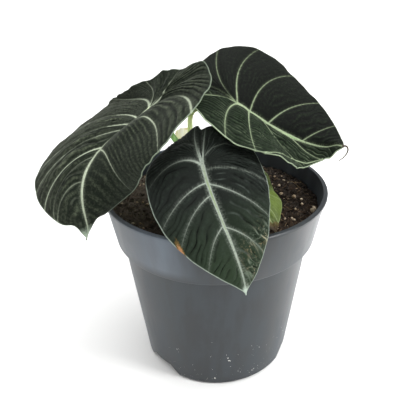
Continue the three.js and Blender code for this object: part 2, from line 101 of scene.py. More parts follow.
def set_surface(material, inputs):
    fill_sockets(material.node_tree, material.node_tree.nodes["Principled BSDF"], inputs)


def two_tone(name, scale, detail, span, tones, surface):
    """A material that goes from one tone to another where a noise goes up through a span."""
    material, add, place = new_material(name)
    uneven = add("TexNoise", {"Vector": place, "Scale": scale, "Detail": detail})
    first, second = (colour(tone) for tone in tones)
    tone = add("Mix", {0: add("MapRange", (uneven, *span)), 6: first, 7: second}, data_type="RGBA")
    set_surface(material, {"Base Color": tone, **surface})
    return material


def add_piece(name, bm, material, sharp=35):
    """The mesh as an object at the origin, smooth but for edges sharper than an angle."""
    mesh = bpy.data.meshes.new(name)
    bm.to_mesh(mesh)
    bm.free()
    mesh.shade_smooth()
    mesh.set_sharp_from_angle(angle=math.radians(sharp))
    piece = bpy.data.objects.new(name, mesh)
    bpy.context.scene.collection.objects.link(piece)
    if material:
        mesh.materials.append(material)
    return piece


def cut_out(piece, other):
    """Cuts the other piece out of the first and removes the other."""
    change = piece.modifiers.new("cut", "BOOLEAN")
    change.operation = "DIFFERENCE"
    change.solver = "MANIFOLD"
    change.object = other
    evaluated = piece.evaluated_get(bpy.context.evaluated_depsgraph_get())
    mesh = bpy.data.meshes.new_from_object(evaluated)
    piece.modifiers.clear()
    piece.data = mesh
    bpy.data.objects.remove(other)


def only(items, kind):
    """The vertices, edges or faces among what an operator gives."""
    return [item for item in items if isinstance(item, kind)]


def spin_round(bm, profile, steps):
    """A closed solid of revolution round +Z, from radius and height pairs in mm."""
    corners = [bm.verts.new((r * MM, 0, z * MM)) for r, z in profile]
    edges = [bm.edges.new(pair) for pair in zip(corners, corners[1:])]
    bmesh.ops.spin(
        bm, geom=corners + edges, axis=(0, 0, 1), angle=2 * math.pi, steps=steps, use_merge=True
    )
    bmesh.ops.remove_doubles(bm, verts=bm.verts, dist=1e-6)
    bmesh.ops.recalc_face_normals(bm, faces=bm.faces)


def drain_blocks(offset, inner):
    """The three notches' trapezium, grown by an offset, pushed outward from an inner radius."""
    bm = bmesh.new()
    below = 1
    bottom, top = (half + offset for half in DRAIN_HALF_WIDTHS)
    height = DRAIN_HEIGHT + offset
    outline = [
        (-bottom, -below), (bottom, -below), (bottom, 0), (top, height), (-top, height), (-bottom, 0),
    ]
    for direction in DRAIN_DIRECTIONS:
        corners = [bm.verts.new((inner * MM, x * MM, z * MM)) for x, z in outline]
        face = bm.faces.new(corners)
        outer = only(bmesh.ops.extrude_face_region(bm, geom=[face])["geom"], BMVert)
        bmesh.ops.translate(bm, verts=outer, vec=((DRAIN_OUTER_RADIUS - inner) * MM, 0, 0))
        turn = Matrix.Rotation(math.radians(direction), 3, "Z")
        bmesh.ops.rotate(bm, verts=corners + outer, cent=(0, 0, 0), matrix=turn)
    bmesh.ops.recalc_face_normals(bm, faces=bm.faces)
    return add_piece("drain_blocks", bm, None)


# Moulded polypropylene: satin, so the studio shows in it as soft bright bands that grow towards
# the sides. A fine spark-eroded grain blurs them, and handling and hard water leave dull marks.
pot_plastic, add, place = new_material("polypropylene, injection moulded, satin black")
clouds = add("TexNoise", {"Vector": place, "Scale": 28, "Detail": 4, "Roughness": 0.6})
streaked = add("Mapping", {"Vector": place, "Scale": (1, 1, 0.18)})
streaks = add("TexNoise", {"Vector": streaked, "Scale": 160, "Detail": 3})
grain = add("TexNoise", {"Vector": place, "Scale": 2400, "Detail": 2})
dull = add("MapRange", (add("Math", (clouds, streaks), operation="MULTIPLY"), 0.2, 0.34))
plain = add("Mix", {0: dull, 6: colour("#21262a"), 7: colour("#2d3439")}, data_type="RGBA")

# A pale bluish band is painted on the collar, left of the middle, in faint streaks: a painted
# reflection of the bright floor to its left.
across, height = (add("SeparateXYZ", (place,), out=axis) for axis in "XZ")
painted_reflection = add("MapRange", (streaks, 0.3, 0.6, 0.42, 0.58))
for share in (
    add("MapRange", (across, -0.008, -0.024)),
    add("MapRange", (across, -0.026, -0.048, 1, 0.1)),
    add("MapRange", (height, 0.079, 0.084)),
):
    painted_reflection = add("Math", (painted_reflection, share), operation="MULTIPLY")
set_surface(pot_plastic, {
    "Base Color": add("Mix", {0: painted_reflection, 6: plain, 7: colour("#66727f")}, data_type="RGBA"),
    "Roughness": add("MapRange", (dull, 0, 1, 0.4, 0.5)),
    "IOR": 1.49,
    "Sheen Weight": 0.14,
    "Sheen Roughness": 0.32,
    "Sheen Tint": colour("#d3dbe6"),
    "Normal": add("Bump", {"Height": grain, "Strength": 0.12, "Distance": 0.0001}),
})

bm = bmesh.new()
spin_round(bm, [*POT_OUTSIDE, (0, POT_OUTSIDE[-1][1])], POT_STEPS)
pot = add_piece("pot_shell", bm, pot_plastic)
bm = bmesh.new()
spin_round(bm, [(0, POT_INSIDE[0][1]), *POT_INSIDE], POT_STEPS)
hollow = add_piece("pot_hollow", bm, None)
pocket_radius = DRAIN_FLOOR_RADIUS - DRAIN_DEPTH
cut_out(hollow, drain_blocks(POT_WALL, pocket_radius - POT_WALL))
cut_out(pot, hollow)
cut_out(pot, drain_blocks(0, pocket_radius))
bm = bmesh.new()
hole_centre = Vector((DRAIN_FLOOR_RADIUS - DRAIN_DEPTH / 2, 0, DRAIN_HEIGHT)) * MM
hole_radius = DRAIN_HOLE_RADIUS * MM
for direction in DRAIN_DIRECTIONS:
    turn = Matrix.Rotation(math.radians(direction), 4, "Z")
    bmesh.ops.create_cone(
        bm, cap_ends=True, segments=40, radius1=hole_radius, radius2=hole_radius,
        depth=2 * DRAIN_HEIGHT * MM, matrix=Matrix.Translation(turn @ hole_centre),
    )
cut_out(pot, add_piece("drain_holes", bm, None))
pot.data.shade_smooth()
pot.data.set_sharp_from_angle(angle=math.radians(25))
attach(pot, "root")
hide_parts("pot")

# Crumbs of perlite and lime dust that dried on to the pot's side after watering: flat white flakes.
DUST = [  # direction in degrees from +X, height and size in mm
    (-82.1, 21.8, 0.75), (-81.3, 19.6, 1.05), (-80.4, 19.1, 0.7), (-83.2, 24.5, 0.35), (-91.4, 5.1, 0.9),
    (-118.7, 23.8, 0.65), (-117.2, 24.6, 0.4), (-62.3, 6.1, 0.7), (-61, 6.9, 0.6), (-58.8, 24.1, 0.45),
    (-64.6, 5.2, 0.4), (-74.1, 9.2, 0.45), (-80, 14.5, 0.35), (-57.5, 8, 0.35), (-93, 35, 0.3),
]
dust_lime = two_tone(
    "perlite dust, dried on", 1800, 2, (0, 1), ("#cfcdc4", "#f4f3ee"), {"Roughness": 0.9}
)
chance = random.Random(7)
bm = bmesh.new()
scattered = [
    (chance.uniform(-130, -30), 2 + 26 * chance.random() ** 1.6, chance.uniform(0.16, 0.3))
    for _ in range(70)
]
(foot_radius, foot), (top_radius, top) = POT_OUTSIDE[2:4]
for direction, height, size in DUST + scattered:
    radius = foot_radius + (height - foot) * (top_radius - foot_radius) / (top - foot)
    flake = bmesh.ops.create_icosphere(bm, subdivisions=1, radius=size / 2 * MM)["verts"]
    shape = Matrix.Diagonal((0.3, 1, chance.uniform(0.6, 1)))
    turn = Matrix.Rotation(math.radians(direction), 3, "Z")
    place = Vector(((radius + 0.05) * MM, 0, height * MM))
    for vert in flake:
        bulge = 1 + 0.5 * noise.noise(vert.co * 3000 + Vector((direction, height, 0)))
        vert.co = turn @ (shape @ (vert.co * bulge) + place)
dust = add_piece("pot_dust", bm, dust_lime)
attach(dust, "root")

# ---- Soil ----
# Peat mix that fills the pot to just under the rim, loose and crumbly on top. The stem stands in
# it. It is crumbs of peat, fibres and bits of bark, with white perlite grains in it.

SOIL_LEVEL = 96.5
SOIL_EDGE_RADIUS = 56.2
SOIL_SIDE = [(53.7, 80.8), (50, 78.3), (40.9, 2.1)]  # down the pot's inside, with its clearance
SOIL_SECTORS = 480
SOIL_RINGS = 120
SOIL_CRUMBS = [(5, 0.9), (2.4, 0.75), (1.1, 0.45)]  # pitch and height of the three sizes
MOUND_HEIGHT, MOUND_WIDTH = 2, 16  # round the stem
STEM_CENTRE = (-7, 4)
STEM_PLACE = Vector((*STEM_CENTRE, 0)) * MM
STEM_HOLE_RADIUS = 7.9
STEM_HOLE_BOTTOM = 69.7
CLEARANCE = 0.3


def soil_height(x, y):
    """The soil's surface in mm: the part's ripples and mound, with crumbs of three sizes."""
    ripples = math.sin(0.61 * x + 0.35 * y) + math.sin(-0.29 * x + 0.83 * y + 2)
    ripples += math.sin(1.27 * x - 1.09 * y + 4)
    from_stem = math.hypot(x - STEM_CENTRE[0], y - STEM_CENTRE[1])
    height = SOIL_LEVEL + 0.2 * ripples + MOUND_HEIGHT * math.exp(-((from_stem / MOUND_WIDTH) ** 2))
    height += 0.7 * noise.noise(Vector((x / 9, y / 9, 0)))
    for pitch, lump in SOIL_CRUMBS:
        distances, points = noise.voronoi(Vector((x / pitch, y / pitch, pitch)))
        share = noise.cell(points[0] * 7)
        height += lump * share * math.sqrt(max(0, 1 - (distances[0] / 0.75) ** 2))
    to_wall = SOIL_EDGE_RADIUS - math.hypot(x, y)
    return height - 0.5 - 1.2 * math.exp(-to_wall / 1.5)


# Moist peat, matt and fibrous: nearly black where it is wet, browner towards the front where it dries,
# with pale specks of salts. Towards the left it is painted paler grey-brown, as painted light on soil
# in the leaves' shade.
peat, add, place = new_material("peat mix, moist")
patches = add("TexNoise", {"Vector": place, "Scale": 45, "Detail": 5, "Roughness": 0.65})
crumbs = add("TexNoise", {"Vector": place, "Scale": 420, "Detail": 5, "Roughness": 0.7})
fine = add("TexNoise", {"Vector": place, "Scale": 1500, "Detail": 3})
across, back = (add("SeparateXYZ", (place,), out=axis) for axis in "XY")
brown_share = add("MapRange", (crumbs, 0.45, 0.72, 0, 0.8))
wet, dried = (
    add("Mix", {0: brown_share, 6: colour(dark), 7: colour(brown)}, data_type="RGBA")
    for dark, brown in (("#191512", "#372c22"), ("#2a221b", "#5f4c3b"))
)
front_share = add("MapRange", (back, 0.025, -0.04, 0, 0.4))
peat_colour = wet
for share, paint in (
    (add("Math", (patches, front_share, front_share), operation="MULTIPLY_ADD"), dried),
    # painted light: paler grey-brown towards the left, on soil in the leaves' shade
    (add("MapRange", (across, -0.01, -0.045, 0, 0.8)), colour("#5d554b")),
    (add("MapRange", (fine, 0.62, 0.7, 0, 0.5)), colour("#8d857a")),
):
    peat_colour = add("Mix", {0: share, 6: peat_colour, 7: paint}, data_type="RGBA")
set_surface(peat, {
    "Base Color": peat_colour, "Roughness": 0.95, "Specular IOR Level": 0.15,
    "Normal": add("Bump", {"Height": fine, "Strength": 0.8, "Distance": 0.0004}),
})

bm = bmesh.new()
hole = bmesh.ops.create_circle(bm, segments=SOIL_SECTORS, radius=STEM_HOLE_RADIUS * MM)["verts"]
rim = bmesh.ops.create_circle(bm, segments=SOIL_SECTORS, radius=SOIL_EDGE_RADIUS * MM)["verts"]
bmesh.ops.translate(bm, verts=hole, vec=STEM_PLACE)
bmesh.ops.translate(bm, verts=bm.verts, vec=(0, 0, SOIL_LEVEL * MM))
hole_edges, rim_edges = (list({edge for vert in ring for edge in vert.link_edges}) for ring in (hole, rim))
spokes = bmesh.ops.bridge_loops(bm, edges=hole_edges + rim_edges)["edges"]
for loop, levels in ((hole_edges, [(None, STEM_HOLE_BOTTOM)]), (rim_edges, SOIL_SIDE)):
    for radius, z in levels:
        grown = bmesh.ops.extrude_edge_only(bm, edges=loop)["geom"]
        loop = only(grown, BMEdge)
        for vert in only(grown, BMVert):
            vert.co.z = z * MM
            if radius:
                vert.co.x, vert.co.y = vert.co.xy.normalized() * (radius * MM)
    bmesh.ops.contextual_create(bm, geom=loop)
bmesh.ops.subdivide_edges(bm, edges=spokes, cuts=SOIL_RINGS, use_grid_fill=True)
for vert in bm.verts:
    if abs(vert.co.z - SOIL_LEVEL * MM) < 1e-7:
        vert.co.z = soil_height(vert.co.x / MM, vert.co.y / MM) * MM
bmesh.ops.recalc_face_normals(bm, faces=bm.faces)
soil = add_piece("soil_body", bm, peat, sharp=180)
boss = POT_WALL + CLEARANCE
cut_out(soil, drain_blocks(boss, pocket_radius - boss))
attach(soil, "root")
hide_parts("soil")


def on_soil(chance, margin):
    """A random place on the soil, clear of the pot's wall and the stem."""
    while True:
        x, y = (chance.uniform(-SOIL_EDGE_RADIUS, SOIL_EDGE_RADIUS) for _ in range(2))
        from_stem = math.hypot(x - STEM_CENTRE[0], y - STEM_CENTRE[1])
        if math.hypot(x, y) < SOIL_EDGE_RADIUS - margin and from_stem > STEM_HOLE_RADIUS + margin:
            return x, y


def add_lump(bm, chance, x, y, size, squash, sink, detail=1):
    """An uneven grain, partly sunk in the soil."""
    lump = bmesh.ops.create_icosphere(bm, subdivisions=detail, radius=size / 2 * MM)["verts"]
    shape = Matrix.Diagonal((1, chance.uniform(0.6, 1), squash))
    tilt = Matrix.Rotation(chance.uniform(-0.5, 0.5), 3, "X")
    turn = Matrix.Rotation(chance.uniform(0, math.pi), 3, "Z") @ tilt @ shape
    height = soil_height(x, y) + size * (0.5 * squash - sink)
    place = Vector((x, y, height)) * MM
    shift = Vector((x, y, size)) * 3
    for vert in lump:
        bulge = 1 + 0.45 * noise.noise(vert.co * (2.2 / (size * MM)) + shift)
        vert.co = turn @ (vert.co * bulge) + place


# Loose crumbs of peat and bark that lie on the surface.
chance = random.Random(11)
bm = bmesh.new()
for _ in range(900):
    x, y = on_soil(chance, 1.6)
    add_lump(bm, chance, x, y, chance.uniform(0.7, 2.6), chance.uniform(0.5, 0.9), 0.35)
crumb_piece = add_piece("peat_crumbs", bm, peat)
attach(crumb_piece, "root")


def sweep(bm, path, radii, sides):
    """A closed round rod: a disc extruded from point to point of a path, in metres."""
    ring = bmesh.ops.create_circle(bm, cap_ends=True, segments=sides, radius=1)["verts"]
    face = ring[0].link_faces[0]
    turn = Vector((0, 0, 1)).rotation_difference(path[1] - path[0])
    before = Matrix.Identity(4)
    for i, (point, radius) in enumerate(zip(path, radii)):
        if i > 0:
            ahead = path[min(i + 1, len(path) - 1)] - path[i - 1]
            behind = path[i] - path[max(i - 2, 0)] if i > 1 else path[1] - path[0]
            turn = behind.rotation_difference(ahead) @ turn
            grown = bmesh.ops.extrude_face_region(bm, geom=[face])["geom"]
            ring, (face,) = only(grown, BMVert), only(grown, BMFace)
        here = Matrix.Translation(point) @ turn.to_matrix().to_4x4() @ Matrix.Scale(radius, 4)
        bmesh.ops.transform(bm, matrix=here @ before.inverted(), verts=ring)
        before = here


# Fibres and rootlets: dry plant strands, the palest thing in peat after the perlite.
fibre_stuff = two_tone(
    "dry peat fibre", 130, 2, (0.4, 0.7), ("#3a2a1d", "#8a755a"),
    {"Roughness": 0.8, "Specular IOR Level": 0.2},
)
chance = random.Random(23)
bm = bmesh.new()
for _ in range(330):
    x, y = on_soil(chance, 4)
    heading = chance.uniform(0, 2 * math.pi)
    stride = chance.uniform(0.5, 1.5)
    thick = chance.uniform(0.08, 0.2)
    lift = chance.uniform(0.1, 0.7)
    path = []
    for step in range(5):
        rise = thick + lift * math.sin(math.pi * step / 4)
        path.append(Vector((x, y, soil_height(x, y) + rise)) * MM)
        heading += chance.uniform(-0.5, 0.5)
        x += stride * math.cos(heading)
        y += stride * math.sin(heading)
    sweep(bm, path, [thick * share * MM for share in (0.4, 1, 1, 0.9, 0.3)], 5)
bmesh.ops.recalc_face_normals(bm, faces=bm.faces)
fibres = add_piece("peat_fibres", bm, fibre_stuff)
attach(fibres, "root")

# Perlite: white volcanic glass blown up into light, rough, rounded grains, stained by the peat.
GRAINS = [  # x, y and size in mm of the grains that show between the leaves
    (36.8, 14.6, 2.3), (36.8, 5.1, 2.2), (33.3, 17.4, 1.2), (43, -0.5, 2.6), (37.7, -1, 1.3),
    (40.3, 0.2, 1.2), (47, -2.4, 1.6), (42.3, -12.5, 1.4), (51.9, -13.3, 3), (50.6, -15, 2.6),
    (52.8, -17.7, 2.4), (35.5, -23.1, 1.5), (-42.5, -3.3, 1.5), (-39.2, -3.4, 1.4), (-36.6, -6.9, 1.8),
    (-49, -17.7, 1.5), (-41.4, -27.2, 1.5), (46.5, 12, 1.6), (29.5, 30, 1.7), (31, -33, 1.2),
]
perlite, add, place = new_material("perlite, expanded, peat-stained")
stain = add("TexNoise", {"Vector": place, "Scale": 210, "Detail": 4})
stained = {0: add("MapRange", (stain, 0.38, 0.68)), 6: colour("#c4b59c"), 7: colour("#7c6449")}
pores = add("TexVoronoi", {"Vector": place, "Scale": 2600})
set_surface(perlite, {
    "Base Color": add("Mix", stained, data_type="RGBA"),
    "Roughness": 0.85,
    "Normal": add("Bump", {"Height": pores, "Strength": 0.5, "Distance": 0.0002}),
})
chance = random.Random(31)
bm = bmesh.new()
for x, y, size in GRAINS:
    add_lump(bm, chance, x, y, size, 0.8, 0.25, detail=2)
for _ in range(190):
    x, y = on_soil(chance, 2)
    add_lump(bm, chance, x, y, 0.4 + 1.7 * chance.random() ** 2.5, 0.8, 0.35)
grains = add_piece("perlite_grains", bm, perlite)
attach(grains, "root")

# ---- Stem base ----
# The short thick rhizome that every petiole leaves, half buried. Old leaf scars ring it.

STEM_FOOT = [(0, 70), (4.2, 70)]  # radius and height in mm
STEM_TOP = [(6.5, 104.8), (3.4, 106.7), (0, 107)]
STEM_RADIUS = 7.6
STEM_SIDE_BOTTOM, STEM_SIDE_STEPS = 71.5, 22
SCAR_PITCH = 6
SCAR_STEPS = 4  # from scar to scar
SCAR_DEPTH = 0.5
FIRST_SCAR = 73

# Live stem tissue: firm and green, with corky brown rings where leaves have dropped.
stem_skin, add, place = new_material("stem tissue, green with corky scars")
blotches = add("TexNoise", {"Vector": place, "Scale": 260, "Detail": 4})
upward = add("SeparateXYZ", (place,), out="Z")
ring_turn = add("Math", (upward, 2 * math.pi / (SCAR_PITCH * MM)), operation="MULTIPLY")
scar = add("Math", (add("Math", (ring_turn,), operation="SINE"), blotches), operation="MULTIPLY")
corky = {0: add("MapRange", (scar, 0.1, 0.45)), 6: colour("#8f9a5c"), 7: colour("#6b5338")}
set_surface(stem_skin, {
    "Base Color": add("Mix", corky, data_type="RGBA"),
    "Roughness": 0.55,
    "Normal": add("Bump", {"Height": blotches, "Strength": 0.4, "Distance": 0.0004}),
})
bm = bmesh.new()
profile = []
for step in range(STEM_SIDE_STEPS):
    z = STEM_SIDE_BOTTOM + step * SCAR_PITCH / SCAR_STEPS
    bulge = SCAR_DEPTH * (0.5 + 0.5 * math.cos(2 * math.pi * (z - FIRST_SCAR) / SCAR_PITCH))
    profile.append((STEM_RADIUS - SCAR_DEPTH + bulge, z))
spin_round(bm, [*STEM_FOOT, *profile, *STEM_TOP], 64)
bmesh.ops.translate(bm, verts=bm.verts, vec=STEM_PLACE)
for vert in bm.verts:
    away = (vert.co - STEM_PLACE) * Vector((1, 1, 0))
    vert.co -= away * 0.08 * abs(noise.noise(vert.co * 300))
stem = add_piece("stem", bm, stem_skin, sharp=60)
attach(stem, "root")
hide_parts("stem_base")

# ---- Sheath ----
# The cataphyll: a thin papery scale that wrapped a young leaf and stays round the petioles' foot.
# It dries from its tip, with fine nerves along it.

SHEATH_BOTTOM, SHEATH_TOP = 101, 135
SHEATH_LEAN = (-8.2, -3.9)
SHEATH_RADII = (8.3, 6)
SHEATH_BACK = (110, 100)  # degrees from +X, at the foot and at the tip
SHEATH_HALF_ANGLES = (52, 48)
SHEATH_ARCH = 1.5
SHEATH_THICKNESS = 0.4
SHEATH_ROWS, SHEATH_COLUMNS = 80, 32


def between(ends, share):
    return ends[0] + (ends[1] - ends[0]) * share


# Papery dry scale: cream with straw nerves, browner in spots, and light shines through it.
paper, add, place = new_material("cataphyll, papery, half dry")
drawn_out = add("Mapping", {"Vector": place, "Scale": (1, 1, 0.06)})
nerves = add("TexNoise", {"Vector": drawn_out, "Scale": 1100, "Detail": 2})
spots = add("TexNoise", {"Vector": place, "Scale": 190, "Detail": 3})
paper_colour = colour("#fbf6da")
for pattern, low, high, paint in ((nerves, 0.4, 0.7, "#e9dfa8"), (spots, 0.6, 0.74, "#dcc27c")):
    share = add("MapRange", (pattern, low, high))
    paper_colour = add("Mix", {0: share, 6: paper_colour, 7: colour(paint)}, data_type="RGBA")
set_surface(paper, {
    "Base Color": paper_colour,
    "Roughness": 0.6,
    "Subsurface Weight": 0.8,
    "Subsurface Scale": 0.002,
    "Subsurface Radius": (1, 1, 0.8),
    "Normal": add("Bump", {"Height": nerves, "Strength": 0.5, "Distance": 0.0002}),
})
bm = bmesh.new()
bmesh.ops.create_grid(bm, x_segments=SHEATH_COLUMNS, y_segments=SHEATH_ROWS, size=1)
for vert in bm.verts:
    v, u = vert.co.x, (vert.co.y + 1) / 2
    angle = math.radians(between(SHEATH_BACK, u) + v * between(SHEATH_HALF_ANGLES, u))
    radius = between(SHEATH_RADII, u) + 0.1 * math.sin(26 * v) * (1 - u)
    x = STEM_CENTRE[0] + SHEATH_LEAN[0] * u ** 1.5 + radius * math.cos(angle)
    y = STEM_CENTRE[1] + SHEATH_LEAN[1] * u ** 1.5 + radius * math.sin(angle)
    ragged = 0.8 * noise.noise(Vector((6 * v, 0, 4))) * u ** 8
    z = between((SHEATH_BOTTOM, SHEATH_TOP), u) - SHEATH_ARCH * v ** 2 * u + ragged
    vert.co = Vector((x, y, z)) * MM
bmesh.ops.recalc_face_normals(bm, faces=bm.faces)
whole = bm.verts[:] + bm.edges[:] + bm.faces[:]
grown = bmesh.ops.extrude_face_region(bm, geom=whole, use_keep_orig=True)["geom"]
bm.normal_update()
for vert in only(grown, BMVert):
    vert.co += vert.normal * SHEATH_THICKNESS * MM
bmesh.ops.recalc_face_normals(bm, faces=bm.faces)
scale_piece = add_piece("cataphyll", bm, paper, sharp=60)
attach(scale_piece, "root")
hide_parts("sheath")

# ---- Petioles ----
# Fleshy round stalks, one a blade. Each widens into its socket in the stem and ends under its
# blade's junction.

PETIOLES = {  # radius and points in mm, from the foot to just under the blade
    "left": (1.5, [
        (-11, 4, 99), (-12.6, 3.4, 107), (-15.6, 2.4, 118.5), (-19.4, 0.6, 129), (-25.4, -2.2, 139.5),
        (-31.5, -6.1, 148.6),
    ]),
    "right": (1.35, [
        (-6.4, 7.6, 99), (-8.6, 7.6, 108), (-11.4, 7, 121), (-12.6, 6.2, 134), (-12, 5.2, 142.5),
        (-8, 3.6, 146.6), (-1, 1.8, 148), (11.1, -0.4, 148.9),
    ]),
    "front": (1.4, [
        (-7.4, 0.2, 99), (-7.2, -3, 107.5), (-6.6, -12, 117.5), (-6, -25, 127), (-5.5, -37.7, 131.8),
    ]),
    "small": (1.1, [
        (-3.4, 3.4, 99), (1.8, 0.8, 104), (8, -3.6, 106.6), (13.6, -8, 108.8), (16.4, -10.8, 111),
    ]),
}
PETIOLE_STEPS = 8  # between two points
PETIOLE_SIDES = 24


def smooth_path(points, steps):
    """A smooth curve through points, in metres."""
    spots = [Vector(point) * MM for point in points]
    spots = [2 * spots[0] - spots[1], *spots, 2 * spots[-1] - spots[-2]]
    path = []
    for a, b, c, d in zip(spots, spots[1:], spots[2:], spots[3:]):
        for step in range(steps):
            t = step / steps
            path.append(0.5 * (2 * b + (c - a) * t + (2 * a - 5 * b + 4 * c - d) * t ** 2
                               + (3 * b - a - 3 * c + d) * t ** 3))
    path.append(spots[-2])
    return path


# Fleshy stalk: smooth and slightly waxy, with fine lengthwise streaks. The older blade's stalk, on
# the left, is a deeper green than the others.
stalk, add, place = new_material("petiole, fleshy, waxy green")
lengthwise = add("Mapping", {"Vector": place, "Scale": (1, 1, 0.12)})
stalk_streaks = add("TexNoise", {"Vector": lengthwise, "Scale": 900, "Detail": 2})
streak_share = add("MapRange", (stalk_streaks, 0.35, 0.7))
young_green, old_green = (
    add("Mix", {0: streak_share, 6: colour(pale), 7: colour(deep)}, data_type="RGBA")
    for pale, deep in (("#e4f5ac", "#c2e086"), ("#9fca7c", "#73a555"))
)
old_share = add("MapRange", (add("SeparateXYZ", (place,), out="X"), -0.0145, -0.018))
set_surface(stalk, {
    "Base Color": add("Mix", {0: old_share, 6: young_green, 7: old_green}, data_type="RGBA"),
    "Roughness": 0.42,
    "Subsurface Weight": 0.5,
    "Subsurface Scale": 0.002,
    "Subsurface Radius": (0.8, 1, 0.5),
    "Normal": add("Bump", {"Height": stalk_streaks, "Strength": 0.2, "Distance": 0.0002}),
})
for name, (radius, points) in PETIOLES.items():
    path = smooth_path(points, PETIOLE_STEPS)
    shares = [i / (len(path) - 1) for i in range(len(path))]
    bm = bmesh.new()
    radii = [radius * MM * (1 + 0.35 * math.exp(-9 * share)) for share in shares]
    sweep(bm, path, radii, PETIOLE_SIDES)
    bmesh.ops.recalc_face_normals(bm, faces=bm.faces)
    piece = add_piece(f"stalk_{name}", bm, stalk, sharp=60)
    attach(piece, "root")
    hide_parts(f"petiole_{name}")

# ---- Leaf blades: the shape they share ----
# Each blade is a flat heart shape bent in space, the same as in the part: its midrib turns and
# rolls, and each half folds, curls and waves. Rows of the mesh follow the way the veins run.

MIDRIB_STEPS = 400
CURVE_STEPS = 120
MARGIN_STEPS = 600
FAN_END = 0.05  # veins that leave nearer than this share of the length fan out from the petiole
ROW_SPACING = 0.62  # mm at the margin
COLUMNS = 66  # from midrib to margin
WIDEST = 0.15  # where a blade is widest, as a share of its length
LOBE_END = 0.45  # the share of the margin that goes round the lobe
MARGIN_LENGTH = 1.6  # times the blade's length
BLADE_THICKNESS = (0.45, 0.8)  # in mm, at the margin and inside it
RUFFLE_LENGTHS = (13, 7.1)  # in mm along the margin


def three_point(values, share):
    """A quantity given at the start, half way and at the end."""
    start, middle, end = values
    first, last = start * (1 - share) * (1 - 2 * share), end * share * (2 * share - 1)
    return first + middle * 4 * share * (1 - share) + last


def hump(distance, width):
    """1 at a line and inside it, and less and less over about a width beside it."""
    return np.exp(-((np.maximum(distance, 0) / width) ** 2))


def spot(along, across, middle, size):
    """1 at a place on a flat blade, and less and less over about a size around it."""
    return np.exp(-(((along - middle[0]) / size[0]) ** 2 + ((across - middle[1]) / size[1]) ** 2))


def margin_at(leaf, half, m):
    """Where the flat margin is, in mm along and across the midrib: m 0 at the sinus, 1 at the tip."""
    widest = WIDEST * leaf["length"]
    half_width = leaf["width"] / 2
    angle = np.clip(m / LOBE_END, 0, 1) * math.pi / 2
    round_across = half_width * np.sin(angle) ** 0.8
    in_sinus = hump(round_across, 0.04 * leaf["width"])
    round_along = widest - (widest + half["lobe"]) * np.cos(angle) ** 0.85
    round_along = round_along + (half["lobe"] - leaf["sinus"]) * in_sinus
    share = np.clip((m - LOBE_END) / (1 - LOBE_END), 0, 1)
    flank_along = widest + (leaf["length"] - widest) * share
    flank_across = half_width * (1 - share ** 2.5) ** 1.4
    in_lobe = m < LOBE_END
    return np.where(in_lobe, round_along, flank_along), np.where(in_lobe, round_across, flank_across)


def arc_of(leaf, half, station, angle, reach, shares):
    """An arc that leaves the midrib at an angle and bows to a place on the margin."""
    start = station * leaf["length"]
    end_along, end_across = margin_at(leaf, half, reach)
    arm = 0.5 * np.hypot(end_along - start, end_across)
    bend_along = start + arm * np.cos(np.radians(angle))
    bend_across = arm * np.sin(np.radians(angle))
    a, b, c = (1 - shares) ** 2, 2 * shares * (1 - shares), shares ** 2
    return a * start + b * bend_along + c * end_along, b * bend_across + c * end_across


def rows_of(half, u):
    """Station, angle and reach of the mesh's rows: u is -1 at the sinus, 0 at the petiole, 1 at the tip."""
    fan = [vein for vein in half["veins"] if vein[0] < FAN_END]
    front = [vein for vein in half["veins"] if vein[0] >= FAN_END]
    _, last_angle, last_reach = fan[-1]
    fan_reach = (1 + u) * last_reach
    reaches, angles = [0, *(vein[2] for vein in fan)], [180, *(vein[1] for vein in fan)]
    fan_angle = np.interp(fan_reach, reaches, angles)
    stations = [0, *(vein[0] for vein in front), 1]
    front_angle = np.interp(u, stations, [last_angle, *(vein[1] for vein in front), 20])
    front_reach = np.interp(u, stations, [last_reach, *(vein[2] for vein in front), 1])
    angle, reach = np.where(u < 0, [fan_angle, fan_reach], [front_angle, front_reach])
    return np.maximum(u, 0), angle, reach


def row_places(leaf):
    """The rows' places, closer than the spacing at the margin, with one row on every vein."""
    stops = {-1.0, 0.0, 1.0}
    for half in (leaf["left"], leaf["right"]):
        last_reach = max(vein[2] for vein in half["veins"] if vein[0] < FAN_END)
        for station, _, reach in half["veins"]:
            stops.add(station if station >= FAN_END else reach / last_reach - 1)
    stops = sorted(stops)
    margin_length = MARGIN_LENGTH * leaf["length"]
    places = [stops[0]]
    for start, end in zip(stops, stops[1:]):
        share = 0.42 if start < 0 else 0.7
        count = max(1, math.ceil((end - start) * share * margin_length / ROW_SPACING))
        places.extend(start + (end - start) * (k + 1) / count for k in range(count))
    return np.array(places)


def midrib_frames(leaf):
    """Stations along the midrib with its place, direction and the blade's two axes there."""
    behind = max(leaf["left"]["lobe"], leaf["right"]["lobe"])
    whole = leaf["length"] + behind
    share = np.linspace(0, 1, MIDRIB_STEPS + 1)
    heading, pitch, roll = (
        np.radians(three_point(leaf[key], share)) for key in ("heading", "pitch", "roll")
    )
    ahead, aside = np.cos(heading), np.sin(heading)
    forward = np.stack([np.cos(pitch) * ahead, np.cos(pitch) * aside, np.sin(pitch)], 1)
    level = np.stack([-aside, ahead, 0 * heading], 1)
    across = level * np.cos(roll)[:, None] + np.cross(forward, level) * np.sin(roll)[:, None]
    steps = (forward[1:] + forward[:-1]) / 2 * whole / MIDRIB_STEPS
    points = np.concatenate([[[0, 0, 0]], np.cumsum(steps, 0)])
    along = share * whole - behind
    at_junction = [np.interp(0, along, points[:, axis]) for axis in range(3)]
    return along, points - at_junction + np.array(leaf["junction"]), across, np.cross(forward, across)


